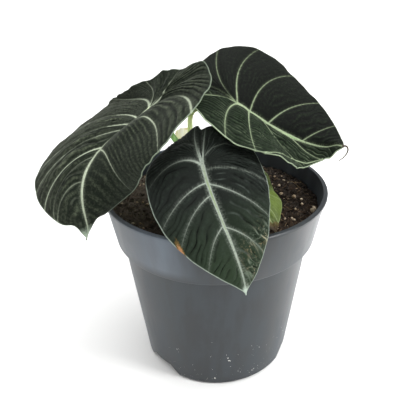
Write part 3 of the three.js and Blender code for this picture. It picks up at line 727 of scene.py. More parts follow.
def bend_blade(leaf, along, across, side, lift):
    """Where flat points lie in space, in mm. Side is 1 on the left half and -1 on the right."""
    half = leaf["left"] if side > 0 else leaf["right"]
    stations, points, sideways, upward = midrib_frames(leaf)
    share = np.clip((along - stations[0]) / (stations[-1] - stations[0]), 0, 1)

    def at(values):
        inside = np.clip(along, stations[0], stations[-1])
        return np.stack([np.interp(inside, stations, values[:, axis]) for axis in range(3)], -1)

    half_width = leaf["width"] / 2
    fold = np.radians(three_point(half["fold"], share))
    bow = np.radians(three_point(half["curl"], share)) / half_width
    bow = np.where(np.abs(bow) < 1e-6, 1e-6, bow)
    out = (np.sin(fold + bow * across) - np.sin(fold)) / bow
    rise = (np.cos(fold) - np.cos(fold + bow * across)) / bow
    wave_height, wave_start = half["wave"]
    turn = 2 * math.pi * (along - wave_start) / leaf["wave_length"]
    rise = rise + wave_height * np.clip(across / half_width, 0, 1) ** 2 * np.sin(turn) + lift
    return at(points) + side * out[..., None] * at(sideways) + rise[..., None] * at(upward)


def near_curve(along, across, curve):
    """Distance in mm from flat points to a curve, and the share of the curve that is nearest."""
    points = np.stack(curve, -1)
    gaps = np.hypot(along[..., None] - points[:, 0], across[..., None] - points[:, 1])
    nearest = gaps.argmin(-1)
    return gaps.min(-1), nearest / (len(points) - 1)


def smooth_step(values, low, high):
    share = np.clip((values - low) / (high - low), 0, 1)
    return share * share * (3 - 2 * share)


def meander(along, across, seed):
    """Slow ups and downs over a flat blade, from -1 to 1."""
    a = np.sin(0.31 * along + 0.17 * across + seed) * np.sin(0.23 * across - 0.11 * along + 2 * seed)
    b = np.sin(0.83 * along - 0.47 * across + 3 * seed) * np.sin(0.71 * across + 0.39 * along + seed)
    return 0.6 * a + 0.4 * b


def grow_half(leaf, side, places):
    """One half of a blade: its place in space and what the finish needs to know at each point."""
    half = leaf["left"] if side > 0 else leaf["right"]
    station, angle, reach = (values[:, None] for values in rows_of(half, places))
    shares = np.linspace(0, 1, COLUMNS + 1)[None, :]
    along, across = arc_of(leaf, half, station, angle, reach, shares)
    signed_across = side * across
    ends = [0, *(vein[2] for vein in half["veins"]), 1]
    gap = np.interp(reach, ends, range(len(ends)))
    margin_length = MARGIN_LENGTH * leaf["length"]
    spacing, forked, clear_share, rib_strengths = half["ribs"]
    rib_counts = [max(2, round((b - a) * margin_length / spacing)) for a, b in zip(ends, ends[1:])]
    phase = np.interp(gap, range(len(ends)), np.concatenate([[0], np.cumsum(rib_counts)]))
    if "crosswise" in half:  # these ribs run beside the midrib and drift out from it
        phase = (across - half["crosswise"] * along) / spacing

    # At each point, of the nearest vein: how far off its edge is, how far along it that is, and how
    # silver it is there.
    vein_edge = np.full(along.shape, 99.0)
    vein_run = np.zeros(along.shape)
    vein_strength = np.zeros(along.shape)
    curve_shares = np.linspace(0, 1, CURVE_STEPS)
    curves = [arc_of(leaf, half, *vein, curve_shares) for vein in half["veins"]]
    drawn = list(zip(curves, half["drawn"]))
    for path, look in half.get("extra_lines", []):
        steps = np.linspace(0, len(path) - 1, CURVE_STEPS)
        curve = tuple(np.interp(steps, range(len(path)), line) for line in zip(*path))
        drawn.append((curve, look))
    for curve, (first_width, last_width, *strengths) in drawn:
        distance, share = near_curve(along, across, curve)
        edge = distance - (first_width + (last_width - first_width) * share ** 0.7) / 2
        closer = edge < vein_edge
        length = np.hypot(np.diff(curve[0]), np.diff(curve[1])).sum()
        vein_edge = np.where(closer, edge, vein_edge)
        vein_run = np.where(closer, share * length, vein_run)
        strength = np.interp(share, np.linspace(0, 1, len(strengths)), strengths)
        vein_strength = np.where(closer, strength, vein_strength)

    behind = np.minimum(along, 0)
    midrib_places, midrib_widths, midrib_strengths = zip(*leaf["midrib"])
    midrib_edge = np.hypot(across, behind) - np.interp(along, midrib_places, midrib_widths) / 2
    midrib_strength = np.interp(along, midrib_places, midrib_strengths)
    margin_edge, _ = near_curve(along, across, margin_at(leaf, half, np.linspace(0, 1, MARGIN_STEPS)))

    # Ribs wander and fade, and some split in two on their way to the margin.
    clear_of_veins = smooth_step(np.minimum(vein_edge, midrib_edge), 0.2, 2)
    seed = side + leaf["length"]
    slow = meander(along, across, seed)
    wander = phase + leaf["wander"] * meander(0.6 * along, 0.6 * across, seed) * clear_of_veins
    split = forked * smooth_step(shares + 0.15 * meander(across, along, side), 0.5, 0.7)
    rounded = 2 * np.abs(np.sin(math.pi * wander)) ** 0.7 - 1
    halved = 1.4 * np.abs(np.sin(2 * math.pi * wander)) ** 0.7 - 0.7
    ribs = rounded * (1 - split) + halved * split
    fading = 0.75 + 0.35 * meander(0.9 * along, 0.9 * across, 5) + 0.2 * np.sin(2.7 * wander + 3 * slow)
    strength = np.interp(gap, np.arange(len(ends) - 1) + 0.5, rib_strengths)
    strength = strength * fading * clear_of_veins * smooth_step(margin_edge, -0.5, 2.5)
    strength = strength * smooth_step(shares, clear_share - 0.01, clear_share + 0.3)
    relief = leaf["rib_height"] * ribs * strength

    # The blade swells between its veins, and its margin is ruffled in two lengths of wave.
    pillow = leaf["pillow"] * np.abs(np.sin(math.pi * gap)) * np.sin(math.pi * shares)
    turn = 2 * math.pi * reach * margin_length
    long_wave, short_wave = (turn / length for length in RUFFLE_LENGTHS)
    ruffle = 0.6 * np.sin(long_wave + side) + 0.4 * np.sin(short_wave + leaf["length"])
    at_margin = np.exp(-np.maximum(margin_edge, 0) / 3) * smooth_step(shares, 0.3, 0.9)
    ruffle = leaf["ruffle"] * ruffle * at_margin

    # Veins are raised lines in shallow valleys above, nerves and a keel below.
    valley = -0.3 * hump(vein_edge, 1.3) * vein_strength - 0.35 * hump(midrib_edge, 1.8)
    crest = 0.22 * smooth_step(-vein_edge, -0.1, 0.4) * vein_strength
    crest = crest + 0.45 * smooth_step(-midrib_edge, -0.2, 0.7)
    half_thickness = between(BLADE_THICKNESS, smooth_step(margin_edge, 0, 3)) / 2
    keel = 0.9 * np.clip(1 - along / leaf["length"], 0, 1) * hump(across, 1.1)
    keel = keel * smooth_step(along, -3, 1)
    nerve = 0.35 * hump(vein_edge, 0.7) * vein_strength

    marks = np.zeros(along.shape + (3,))
    for kind, middle, size, amount in leaf["marks"]:
        mark = amount * spot(along, signed_across, middle, size)
        marks[..., kind] = np.maximum(marks[..., kind], mark)
    space = bend_blade(leaf, along, across, side, pillow + ruffle)
    for middle, size, shift in leaf["nudges"]:
        space = space + spot(along, signed_across, middle, (size, size))[..., None] * np.array(shift)
    return {
        "space": space * MM,
        "top": (half_thickness + relief + valley + crest) * MM,
        "bottom": (half_thickness + keel + nerve - 0.8 * (relief + valley)) * MM,
        "vein": np.stack([vein_edge, vein_run, vein_strength], -1),
        "midrib": np.stack([midrib_edge, along, midrib_strength], -1),
        "flat": np.stack([along, signed_across, margin_edge], -1),
        "ribs": np.stack([strength, wander, split], -1),
        "marks": marks,
    }


FACTS = ("vein", "midrib", "flat", "ribs", "marks")  # what a blade's finish reads, three numbers each


def grow_blade(name, leaf, material):
    """A grid over both halves, bent to shape, thickened, with its relief on both faces."""
    places = row_places(leaf)
    halves = {side: grow_half(leaf, side, places) for side in (1, -1)}
    rows = len(places)
    bm = bmesh.new()
    bmesh.ops.create_grid(bm, x_segments=rows - 1, y_segments=2 * COLUMNS, size=1)
    layers = {key: bm.verts.layers.float_vector.new(key) for key in (*FACTS, "upward")}
    lifts = {key: bm.verts.layers.float.new(key) for key in ("top", "bottom", "underside")}
    for vert in bm.verts:
        row = round((vert.co.x + 1) / 2 * (rows - 1))
        column = round(vert.co.y * COLUMNS)
        half = halves[1 if column >= 0 else -1]
        vert.co = half["space"][row, abs(column)]
        for key in FACTS:
            vert[layers[key]] = half[key][row, abs(column)]
        for key in ("top", "bottom"):
            vert[lifts[key]] = half[key][row, abs(column)]
    bmesh.ops.remove_doubles(bm, verts=bm.verts, dist=1e-5)
    bmesh.ops.recalc_face_normals(bm, faces=bm.faces)
    junction = Vector(leaf["junction"]) * MM
    middle = min(bm.faces, key=lambda face: (face.calc_center_median() - junction).length)
    if middle.normal.z < 0:
        bmesh.ops.reverse_faces(bm, faces=bm.faces)
    bm.normal_update()
    for vert in bm.verts:
        vert[layers["upward"]] = vert.normal
    under = bm.verts[:]
    everything = under + bm.edges[:] + bm.faces[:]
    grown = bmesh.ops.extrude_face_region(bm, geom=everything, use_keep_orig=True)["geom"]
    for vert in only(grown, BMVert):
        vert.co += vert[layers["upward"]] * vert[lifts["top"]]
    for vert in under:
        vert.co -= vert[layers["upward"]] * vert[lifts["bottom"]]
        vert[lifts["underside"]] = 1
    bmesh.ops.recalc_face_normals(bm, faces=bm.faces)
    bm.verts.layers.float_vector.remove(bm.verts.layers.float_vector["upward"])
    for key in ("top", "bottom"):
        bm.verts.layers.float.remove(bm.verts.layers.float[key])
    return add_piece(name, bm, material, sharp=60)


SCORCH, SCUFF, TIP = range(3)  # the three kinds of mark on a blade

BLADE_LOOK = {  # what most blades share
    "vein_softness": 0.22, "margin_line": (0, 0.5), "scorch": "#b98a4e", "scorch_rim": "#5b4426",
    "underside": "#4f5a43", "roughness": 0.75, "specular": 0.1,
}


def blade_material(name, look):
    """A blade's finish, drawn from its own veins, ribs, margin and marks, in real mm."""
    look = {**BLADE_LOOK, **look}
    material, add, place = new_material(name)
    facts = {}
    for key in FACTS:
        fact = add("Attribute", out="Vector", attribute_name=key)
        facts[key] = [add("SeparateXYZ", (fact,), out=axis) for axis in "XYZ"]
    vein_edge, vein_run, vein_strength = facts["vein"]
    midrib_edge, midrib_run, midrib_strength = facts["midrib"]
    along, across, margin_edge = facts["flat"]
    rib_strength, phase, split = facts["ribs"]
    scorch, scuff, tip = facts["marks"]
    underside = add("Attribute", out="Fac", attribute_name="underside")
    flat = add("CombineXYZ", (along, across))
    patches = add("TexNoise", {"Vector": flat, "Scale": 0.12, "Detail": 4})
    mottle = add("TexNoise", {"Vector": flat, "Scale": 1.3, "Detail": 3})
    flecks = add("TexNoise", {"Vector": flat, "Scale": 0.7, "Detail": 5, "Roughness": 0.75})

    # Dark velvet, uneven, with worn flecks in it. A second tone laid over it along and across the blade,
    # made uneven by broad patches, is painted light and shade.
    (along_part, across_part), (shading_from, shading_to) = look["painted_shading_way"]
    painted_shading_value = add("Math", (along, along_part), operation="MULTIPLY")
    for value, part in ((across, across_part), (patches, 14)):
        painted_shading_value = add("Math", (value, part, painted_shading_value), operation="MULTIPLY_ADD")
    painted_shading_share = add("MapRange", (painted_shading_value, shading_from + 7, shading_to + 7))
    fleck_share = add("MapRange", (flecks, 0.5, 0.68, 0, look["fleck_share"]))
    pit_share = add("MapRange", (flecks, 0.5, 0.34, 0, look["fleck_share"]))

    # Between the veins are ribs, with a groove at every whole phase and, where they split, every
    # half. Their crests carry a painted highlight and their grooves a painted shade, both broken up by
    # flecks and patches.
    from_groove = add("Math", (phase, 0.5), operation="PINGPONG")
    from_half = add("Math", (add("Math", (phase, 0.25), operation="PINGPONG"), 2), operation="MULTIPLY")
    from_either = add("Mix", {0: split, 2: from_groove, 3: from_half})
    painted_crest_highlight = add("MapRange", (from_either, 0.26, 0.46, 0, look["painted_crest_highlight"]))
    painted_groove_shade = add("MapRange", (from_either, 0.04, look["groove_width"], look["painted_groove_shade"], 0))
    highlight_breakup = add("MapRange", (flecks, 0.36, 0.56))
    shade_breakup = add("MapRange", (patches, 0.38, 0.48, 0.4, 1))
    for share in (highlight_breakup, rib_strength):
        painted_crest_highlight = add("Math", (painted_crest_highlight, share), operation="MULTIPLY", use_clamp=True)
    for share in (shade_breakup, rib_strength):
        painted_groove_shade = add("Math", (painted_groove_shade, share), operation="MULTIPLY", use_clamp=True)

    # Some grooves hold a fine pale nerve.
    nerve_share = add("MapRange", (from_groove, 0.05, 0.15, 1, 0))
    for share in (
        add("MapRange", (across, -2, 2, *look["nerve_strengths"])),
        add("MapRange", (patches, 0.45, 0.6)),
        add("MapRange", (margin_edge, 0, 4)),
    ):
        nerve_share = add("Math", (nerve_share, share), operation="MULTIPLY")

    # The veins' silver, uneven along them, bleeds out into the velvet in fine feathers.
    worn_thin = add("MapRange", (flecks, 0.3, 0.55, 0.55, 1))
    softness = look["vein_softness"]
    silver_shares = []
    for edge, run, strength, reach in (
        (vein_edge, vein_run, vein_strength, look["feather"]),
        (midrib_edge, midrib_run, midrib_strength, 1.6 * look["feather"]),
    ):
        run_along, beside = (
            add("Math", (value, scale), operation="MULTIPLY") for value, scale in ((run, 1.7), (edge, 0.35))
        )
        strands = add("CombineXYZ", (run_along, beside, across))
        feathers = add("TexNoise", {"Vector": strands, "Detail": 2, "Scale": 1})
        bleed = add("Math", (add("MapRange", (edge, 0, reach, 1, 0)), 1.7), operation="POWER")
        for share in (add("MapRange", (feathers, 0.4, 0.7, 0.1, 1)), look["bleed"]):
            bleed = add("Math", (bleed, share), operation="MULTIPLY")
        core = add("MapRange", (edge, -softness, softness, 1, 0), interpolation_type="SMOOTHSTEP")
        core = add("Math", (core, worn_thin), operation="MULTIPLY")
        silver_share = add("Math", (bleed, core), operation="MAXIMUM")
        silver_shares.append(add("Math", (silver_share, strength), operation="MULTIPLY"))
    silver_share = add("Math", silver_shares, operation="MAXIMUM")
    vein_dark, vein_pale = colour(look["vein_dark"]), colour(look["vein"])
    silver = add("Mix", {0: mottle, 6: vein_dark, 7: vein_pale}, data_type="RGBA")

    # A greener core shows through the midrib over part of its length.
    core_start, core_peak, core_end = look["core"]
    core_share = add("MapRange", (midrib_edge, -0.3, -0.75))
    for end in (core_start, core_end):
        core_share = add("Math", (core_share, add("MapRange", (along, end, core_peak))), operation="MULTIPLY")

    # A thin pale line runs round the margin, and the tip is pale all over.
    line_strength = add("MapRange", (across, -2, 2, *look["margin_strengths"]))
    line_share = add("MapRange", (margin_edge, *look["margin_line"], 1, 0))
    line_share = add("Math", (line_share, line_strength), operation="MULTIPLY")
    tip_share = add("Math", (tip, flecks), operation="MULTIPLY")
    tip_share = add("MapRange", (tip_share, 0.12, 0.4, 0, 0.9))
    pale_share = add("Math", (line_share, tip_share), operation="MAXIMUM")

    # Scuffed velvet shows as pale strands and tan flecks, and scorched tissue is orange-tan.
    across_ribs, beside_ribs = (
        add("Math", (value, scale), operation="MULTIPLY") for value, scale in ((phase, 1.6), (across, 0.2))
    )
    strands = add("CombineXYZ", (across_ribs, beside_ribs))
    scratches = add("TexNoise", {"Vector": strands, "Scale": 1, "Detail": 4, "Distortion": 0.6})
    scratched = add("Math", (scratches, flecks), operation="MAXIMUM")
    worn_share = add("Math", (add("MapRange", (scratched, 0.53, 0.66, 0, 0.85)), scuff), operation="MULTIPLY")
    tan_share = add("MapRange", (patches, 0.42, 0.58))
    worn = add("Mix", {0: tan_share, 6: colour("#8d9a88"), 7: colour("#97876a")}, data_type="RGBA")
    burnt = add("Math", (flecks, 1.1, scorch), operation="MULTIPLY_ADD")

    below = {0: silver_share, 6: colour(look["underside"]), 7: vein_dark}
    painted = colour(look["tissue"])
    for share, paint in (
        # painted light and shade: the blade's second tone
        (painted_shading_share, colour(look["tissue_painted_shading"])),
        (fleck_share, colour(look["crest"])),
        (pit_share, colour(look["groove"])),
        # painted highlight on the rib crests, then painted shade in the rib grooves
        (painted_crest_highlight, colour(look["crest"])),
        (painted_groove_shade, colour(look["groove"])),
        (nerve_share, vein_dark),
        (silver_share, silver),
        (core_share, colour(look["midrib_core"])),
        (pale_share, colour(look["margin"])),
        (worn_share, worn),
        (add("MapRange", (burnt, 0.85, 1)), colour(look["scorch_rim"])),
        (add("MapRange", (burnt, 1.05, 1.25)), colour(look["scorch"])),
        (underside, add("Mix", below, data_type="RGBA")),
    ):
        painted = add("Mix", {0: share, 6: painted, 7: paint}, data_type="RGBA")

    velvet = add("TexNoise", {"Vector": place, "Scale": 2600, "Detail": 2})
    nap = add("Math", (flecks, velvet), operation="ADD")
    set_surface(material, {
        "Base Color": painted,
        "Roughness": look["roughness"],
        "Specular IOR Level": look["specular"],
        "Sheen Weight": look["sheen"],
        "Sheen Roughness": 0.4,
        "Sheen Tint": colour(look["sheen_tint"]),
        "Normal": add("Bump", {"Height": nap, "Strength": 0.4, "Distance": 0.0004}),
    })
    return material


# ---- Left leaf ----
# The largest and oldest blade. It arches over the left rim with its tip hanging, ribbed by fine
# ridges between the veins. Its velvet is worn and catches the light, so that it looks grey-green, and
# its ridges' pale crests are a painted highlight.

LEFT_LEAF = {
    "junction": (-32, -6.4, 149.6), "length": 79, "width": 82, "sinus": 22, "wave_length": 42,
    "heading": (-87, -140, -2), "pitch": (-55, -29, -110), "roll": (27, -4, 8),
    "left": {
        "lobe": 24.3, "fold": (9, 9, 2), "curl": (-14, 3, 23), "wave": (1.2, -11),
        "veins": [(0, 164, 0.04), (0, 162, 0.22), (0, 132, 0.38), (0.14, 116, 0.51), (0.4, 82, 0.79)],
        "drawn": [
            (0.9, 0.3, 0.75, 0.1), (0.5, 0.3, 0.6, 0.1), (0.5, 0.9, 0.1, 0.1, 0.15, 0.8, 0.7),
            (1.1, 0.5, 0.1, 0.85, 0.8, 0.3), (0.8, 0.3, 0.85, 0.7, 0.1),
        ],
        "extra_lines": [
            ([(-1, 1.5), (-5.3, 5.2), (-14.8, 4.6), (-18.1, 6.1)], (1.5, 0.4, 1, 0.7, 0)),
        ],
        "ribs": (3.3, 0.3, 0, (0.3, 1, 1.1, 0.8, 0.45, 0.35)),
    },
    "right": {
        "lobe": 23.5, "fold": (-18, -1, -7), "curl": (40, -22, -53), "wave": (0.5, 7),
        "veins": [
            (0, 155, 0.08), (0, 138, 0.34), (0.1, 102, 0.6), (0.16, 70, 0.74), (0.22, 56, 0.8),
            (0.38, 52, 0.85), (0.45, 48, 0.88), (0.62, 72, 0.89),
        ],
        "drawn": [
            (1, 0.4, 1, 0.8, 0.6, 0.3), (1.7, 0.5, 1, 1, 0.7, 0.3), (1.1, 0.5, 1, 0.95, 0.8, 0.4),
            (0.9, 0.5, 1, 0.9, 0.7, 0.4), (0.6, 0.4, 0.8, 0.7, 0.6, 0.4), (1, 0.5, 1, 0.95, 0.85, 0.5),
            (0.4, 0.3, 0.4, 0.4), (0.4, 0.3, 0.35, 0.4),
        ],
        "ribs": (3.2, 0.5, 0, (0.4, 0.7, 0.9, 1.1, 1.1, 1.1, 1, 0.8, 0.5)),
    },
    # Distance along the midrib, its width there and how silver it is.
    "midrib": [
        (-25, 1, 0), (-6, 1.3, 0.5), (-1, 2.6, 1), (2.5, 1.6, 0.7), (5, 0.8, 0.15), (24, 0.6, 0.15),
        (34, 1.2, 0.8), (46, 1.4, 0.95), (60, 1, 0.85), (79, 0.7, 0.6),
    ],
    "rib_height": 0.6, "wander": 0.3, "pillow": 1.3, "ruffle": 0.5,
    "nudges": [  # middle, size and shift
        ((9, 9), 8, (0, -0.5, 2)), ((20, 8), 7, (0, -0.5, 2.2)), ((30, 7), 6, (0, 0, 1.2)),
        ((-3, -39), 10, (-0.7, 0.3, 1.5)), ((-23, -10), 5, (0, 0, -1.6)), ((-22.5, -1.5), 3, (0, 0, 1.9)),
        ((-24, 9), 5, (0, 0, -2.2)), ((-20.5, 22.5), 4.5, (0.6, 0, 2.2)), ((71.5, -6.5), 4, (0, 0, 3.2)),
        ((72, 6), 4, (0, 0, 3)),
    ],
    "marks": [(TIP, (79, 0), (7, 6), 1.2)],  # kind, middle, size and strength
}
# Painted light and shade: lighter velvet towards the right half's outer edge, darker over the rest. Crest and
# groove are the ribs' painted highlight and shade; crest is also the worn flecks' colour.
left_velvet = blade_material("alocasia blade, velvety, worn", {
    "tissue": "#20231d", "tissue_painted_shading": "#131a12", "painted_shading_way": ((-0.15, 1), (-34, -12)),
    "fleck_share": 0.2, "crest": "#656d59", "painted_crest_highlight": 0.75,
    "groove": "#060706", "painted_groove_shade": 0.85, "groove_width": 0.18, "nerve_strengths": (0.12, 0),
    "vein": "#ced8bf", "vein_dark": "#a3ae96", "feather": 1.1, "bleed": 0.35,
    "midrib_core": "#c9d6ae", "core": (-3, 0, 8), "margin": "#9fae9a", "margin_strengths": (0.55, 0.7),
    "sheen": 0.13, "sheen_tint": "#cdd3c4",
})
left_blade = grow_blade("left_leaf", LEFT_LEAF, left_velvet)
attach(left_blade, "root")
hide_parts("blade_left")

# ---- Right leaf ----
# A younger blade, its rear half raised and nearly black, its front half lit and greener with a
# turned-down edge; the light on the front half is painted in as a lighter green. Its dry tip is a
# curled brown thread.

RIGHT_LEAF = {
    "junction": (11.8, -0.8, 149.8), "length": 65.3, "width": 78.7, "sinus": 19.3, "wave_length": 62,
    "heading": (-9, 5, -66), "pitch": (-2, -35, 36), "roll": (11, 32, 24),
    "left": {
        "lobe": 25.9, "fold": (15, 20, -1), "curl": (-18, -24, -33), "wave": (2.5, -9.4),
        "veins": [
            (0, 174, 0.02), (0, 171, 0.245), (0, 119, 0.41), (0.12, 98, 0.6), (0.3, 71, 0.76),
            (0.61, 57, 0.87),
        ],
        "drawn": [
            (0.8, 0.5, 0.85, 0.75), (0.8, 0.4, 0.75, 0.5), (1.1, 0.4, 0.8, 0.35), (0.9, 0.4, 0.75, 0.4),
            (0.9, 0.4, 0.8, 0.5), (0.7, 0.4, 0.75, 0.5),
        ],
        "ribs": (3, 0.5, 0.1, (0.3, 0.3, 0.35, 0.3, 0.4, 0.6, 0.6)),
    },
    "right": {
        "lobe": 25.9, "fold": (14, 14, -6), "curl": (-29, 24, 70), "wave": (4.8, 13),
        "veins": [(0, 168, 0.08), (0, 127, 0.32), (0.11, 102, 0.43), (0.26, 61, 0.83), (0.52, 40, 0.91)],
        "drawn": [
            (0.9, 0.6, 0.9, 0.85), (1, 0.5, 0.9, 0.5), (1, 0.5, 1, 0.6), (0.8, 0.4, 0.8, 0.4),
            (0.7, 0.4, 0.8, 0.5),
        ],
        "ribs": (2.3, 0.3, 0.04, (1.1, 1.2, 1.4, 1.4, 1.2, 1)),
        "crosswise": 0.25,
        # The crease where the edge turns down, drawn pale: a painted highlight along its ridge.
        "extra_lines": [(
            [(10, 39.2), (15, 36.8), (24, 28.9), (33.3, 20.5), (39.4, 17.3), (48.4, 15), (55.6, 8.6)],
            (0.9, 0.7, 1, 0.9),
        )],
    },
    "midrib": [
        (-25, 1, 0), (-6, 1, 0.7), (0, 1.9, 0.95), (8, 1.2, 0.95), (20, 1.5, 0.95), (34, 1.9, 1),
        (42, 1.2, 0.9), (50, 0.9, 0.85), (65.3, 0.8, 0.8),
    ],
    "rib_height": 0.5, "wander": 0.8, "pillow": 1.1, "ruffle": 0.4,
    "nudges": [
        ((24, -37.5), 6, (0, 0, -1.1)), ((38, -30), 7, (2.4, 0, 0)), ((59.5, -6), 2.5, (0.4, 0, -1.8)),
        ((59, 0), 4, (0, 0, 1.2)),
    ],
    "marks": [(TIP, (65, 0), (2, 2), 0.9)],
}
# Painted light: the right half, which faces the light, is a lighter green than the near-black rest. Crest and
# groove are the ribs' painted highlight and shade; crest is also the worn flecks' colour.
right_velvet = blade_material("alocasia blade, velvety, young", {
    "tissue": "#0a0d0a", "tissue_painted_shading": "#131d11", "painted_shading_way": ((0, -1), (-3, 8)),
    "fleck_share": 0.15, "crest": "#3a4a33", "painted_crest_highlight": 0.5,
    "groove": "#060806", "painted_groove_shade": 0.9, "groove_width": 0.17, "nerve_strengths": (0.38, 0),
    "vein": "#b9c9a2", "vein_dark": "#869777", "feather": 1.1, "bleed": 0.3,
    "midrib_core": "#9fc088", "core": (28, 36, 43), "margin": "#b5c6a6", "margin_strengths": (1, 0.25),
    "roughness": 0.7, "sheen": 0.08, "sheen_tint": "#c4cebc",
})
right_blade = grow_blade("right_leaf", RIGHT_LEAF, right_velvet)
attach(right_blade, "root")
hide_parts("blade_right")

# The tip has died back to a dry thread that curls under.
thread_stuff = two_tone(
    "leaf tip, dried to a thread", 400, 2, (0, 1), ("#5f5242", "#3b3228"), {"Roughness": 0.7}
)
DRY_TIP = [
    (62.6, -14.1, 132), (64.6, -14.8, 132), (65.4, -15.2, 130.4), (64.9, -15.4, 128.4),
    (63.4, -15.6, 126.4), (61.4, -15.8, 124.8),
]
THREAD_RADII = (0.5, 0.24)
bm = bmesh.new()
path = smooth_path(DRY_TIP, 5)
sweep(bm, path, [between(THREAD_RADII, i / (len(path) - 1)) * MM for i in range(len(path))], 10)
bmesh.ops.recalc_face_normals(bm, faces=bm.faces)
dry_tip = add_piece("dry_tip", bm, thread_stuff)
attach(dry_tip, "root")

# ---- Front leaf ----
# It hangs over the pot's front rim. Its left edge is scorched by the sun, and the velvet near its
# right edge is scuffed.

FRONT_LEAF = {
    "junction": (-5.4, -38.3, 132.8), "length": 63.6, "width": 55, "sinus": 23.4, "wave_length": 39,
    "heading": (-103, -63, -30), "pitch": (-15, -42, -82), "roll": (16, -3, 21),
    "left": {
        "lobe": 24.8, "fold": (11, 27, 22), "curl": (-55, -39, -28), "wave": (0.9, 4),
        "veins": [(0, 168, 0.01), (0.045, 90, 0.52), (0.15, 57, 0.7), (0.48, 55, 0.84)],
        "drawn": [
            (1.2, 0.4, 0.9, 0.1), (0.5, 0.4, 0.55, 0.45), (0.8, 0.35, 0.9, 0.35), (0.7, 0.3, 0.85, 0.3),
        ],
        "extra_lines": [([(-5, 2), (-8, 5.5), (-9.5, 11.7), (-7, 18)], (0.6, 0.4, 0.4, 0.1))],
        "ribs": (4.6, 1, 0.2, (0.5, 1, 1.1, 1.1, 1.2)),
    },
    "right": {
        "lobe": 27, "fold": (-10, 9, -1), "curl": (-30, -46, -56), "wave": (0.7, -6),
        "veins": [(0, 172, 0.03), (0, 137, 0.44), (0.14, 73, 0.59), (0.24, 68, 0.69), (0.47, 70, 0.81)],
        "drawn": [
            (1.7, 0.5, 0.95, 0.1), (1.5, 0.3, 0.9, 0.45, 0.1), (0.8, 0.35, 0.85, 0.2), (0.7, 0.3, 0.8, 0.2),
            (0.7, 0.3, 0.8, 0.2),
        ],
        "extra_lines": [([(-12, 2.8), (-14.5, 7.9), (-13, 13)], (0.5, 0.3, 0.3, 0.05))],
        "ribs": (4.6, 1, 0.15, (0.5, 1, 1.1, 1.1, 1.2, 1)),
    },
    "midrib": [
        (-25, 1, 0), (-8, 0.8, 0.2), (0, 2.1, 0.85), (10, 1.9, 0.85), (35, 1.5, 0.9), (50, 1.1, 0.85),
        (63.6, 0.8, 0.8),
    ],
    "rib_height": 0.6, "wander": 0.4, "pillow": 1, "ruffle": 0.3,
    "nudges": [((-26.5, -4.5), 4, (0, 0, 1.5))],
    "marks": [
        (TIP, (62.5, 0), (4, 3), 1), (SCORCH, (35, -22.7), (6.5, 1.2), 1), (SCUFF, (42, 16), (6, 6), 1.1),
        (SCUFF, (42, 9), (5, 5), 0.9), (SCUFF, (51, 5), (7, 5), 0.8),
    ],
}
# Painted shade: darker velvet at the top by the lobes, in the other leaves' shade, lighter green towards the
# tip. Crest and groove are the ribs' painted highlight and shade, crest also the flecks'.
front_velvet = blade_material("alocasia blade, velvety, dark", {
    "tissue": "#191d1a", "tissue_painted_shading": "#283525", "painted_shading_way": ((1, 0), (16, 50)),
    "fleck_share": 0.14, "crest": "#2f3a31", "painted_crest_highlight": 0.35,
    "groove": "#070907", "painted_groove_shade": 0.85, "groove_width": 0.12, "nerve_strengths": (0, 0.15),
    "vein": "#c0c8b9", "vein_dark": "#87948b", "vein_softness": 0.24, "feather": 1.6, "bleed": 0.55,
    "midrib_core": "#8a9c6f", "core": (-2, 14, 62), "margin": "#b2c0b2", "margin_strengths": (0.8, 0.75),
    "scorch": "#9c7450", "scorch_rim": "#5a4a28", "sheen": 0.06, "sheen_tint": "#c0cac2",
})
front_blade = grow_blade("front_leaf", FRONT_LEAF, front_velvet)
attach(front_blade, "root")
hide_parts("blade_front")

# ---- Small leaf ----
# An old juvenile leaf, low over the soil. It has turned yellow-green and its tip is going brown; towards
# the tip it is painted darker as shade by the pot's rim.

SMALL_VEINS = {  # both halves have these
    "drawn": [(0.7, 0.3, 0.7, 0.6), (0.8, 0.35, 0.8, 0.7), (0.8, 0.35, 0.8, 0.7), (0.7, 0.3, 0.7, 0.6)],
    "ribs": (2.4, 0, 0.05, (1, 1, 1, 1, 1)),
}
SMALL_LEAF = {
    "junction": (16.6, -10.9, 112.2), "length": 37.7, "width": 31.6, "sinus": 9, "wave_length": 27.5,
    "heading": (-77, -71, -62), "pitch": (4, -16, -32), "roll": (-2, -13, -9),
    "left": {
        "lobe": 10.4, "fold": (4, 4, 2), "curl": (-30, -30, -29), "wave": (1.4, 9.5),
        "veins": [(0, 150, 0.14), (0, 100, 0.42), (0.21, 69, 0.62), (0.48, 53, 0.91)], **SMALL_VEINS,
    },
    "right": {
        "lobe": 11.2, "fold": (4, 4, 4), "curl": (-28, -28, -27), "wave": (0.6, -4),
        "veins": [(0, 152, 0.14), (0, 104, 0.4), (0.2, 68, 0.62), (0.48, 54, 0.81)], **SMALL_VEINS,
    },
    "midrib": [(-12, 0.8, 0), (0, 1.4, 1), (37.7, 0.7, 0.7)],
    "rib_height": 0.3, "wander": 0.3, "pillow": 1, "ruffle": 0.3,
    "nudges": [((-6, 11), 6, (0.3, 0, 2.6))],
    "marks": [(SCORCH, (38, 0), (7, 12), 1), (SCUFF, (-5.4, 12.8), (2.5, 2.5), 1)],
}
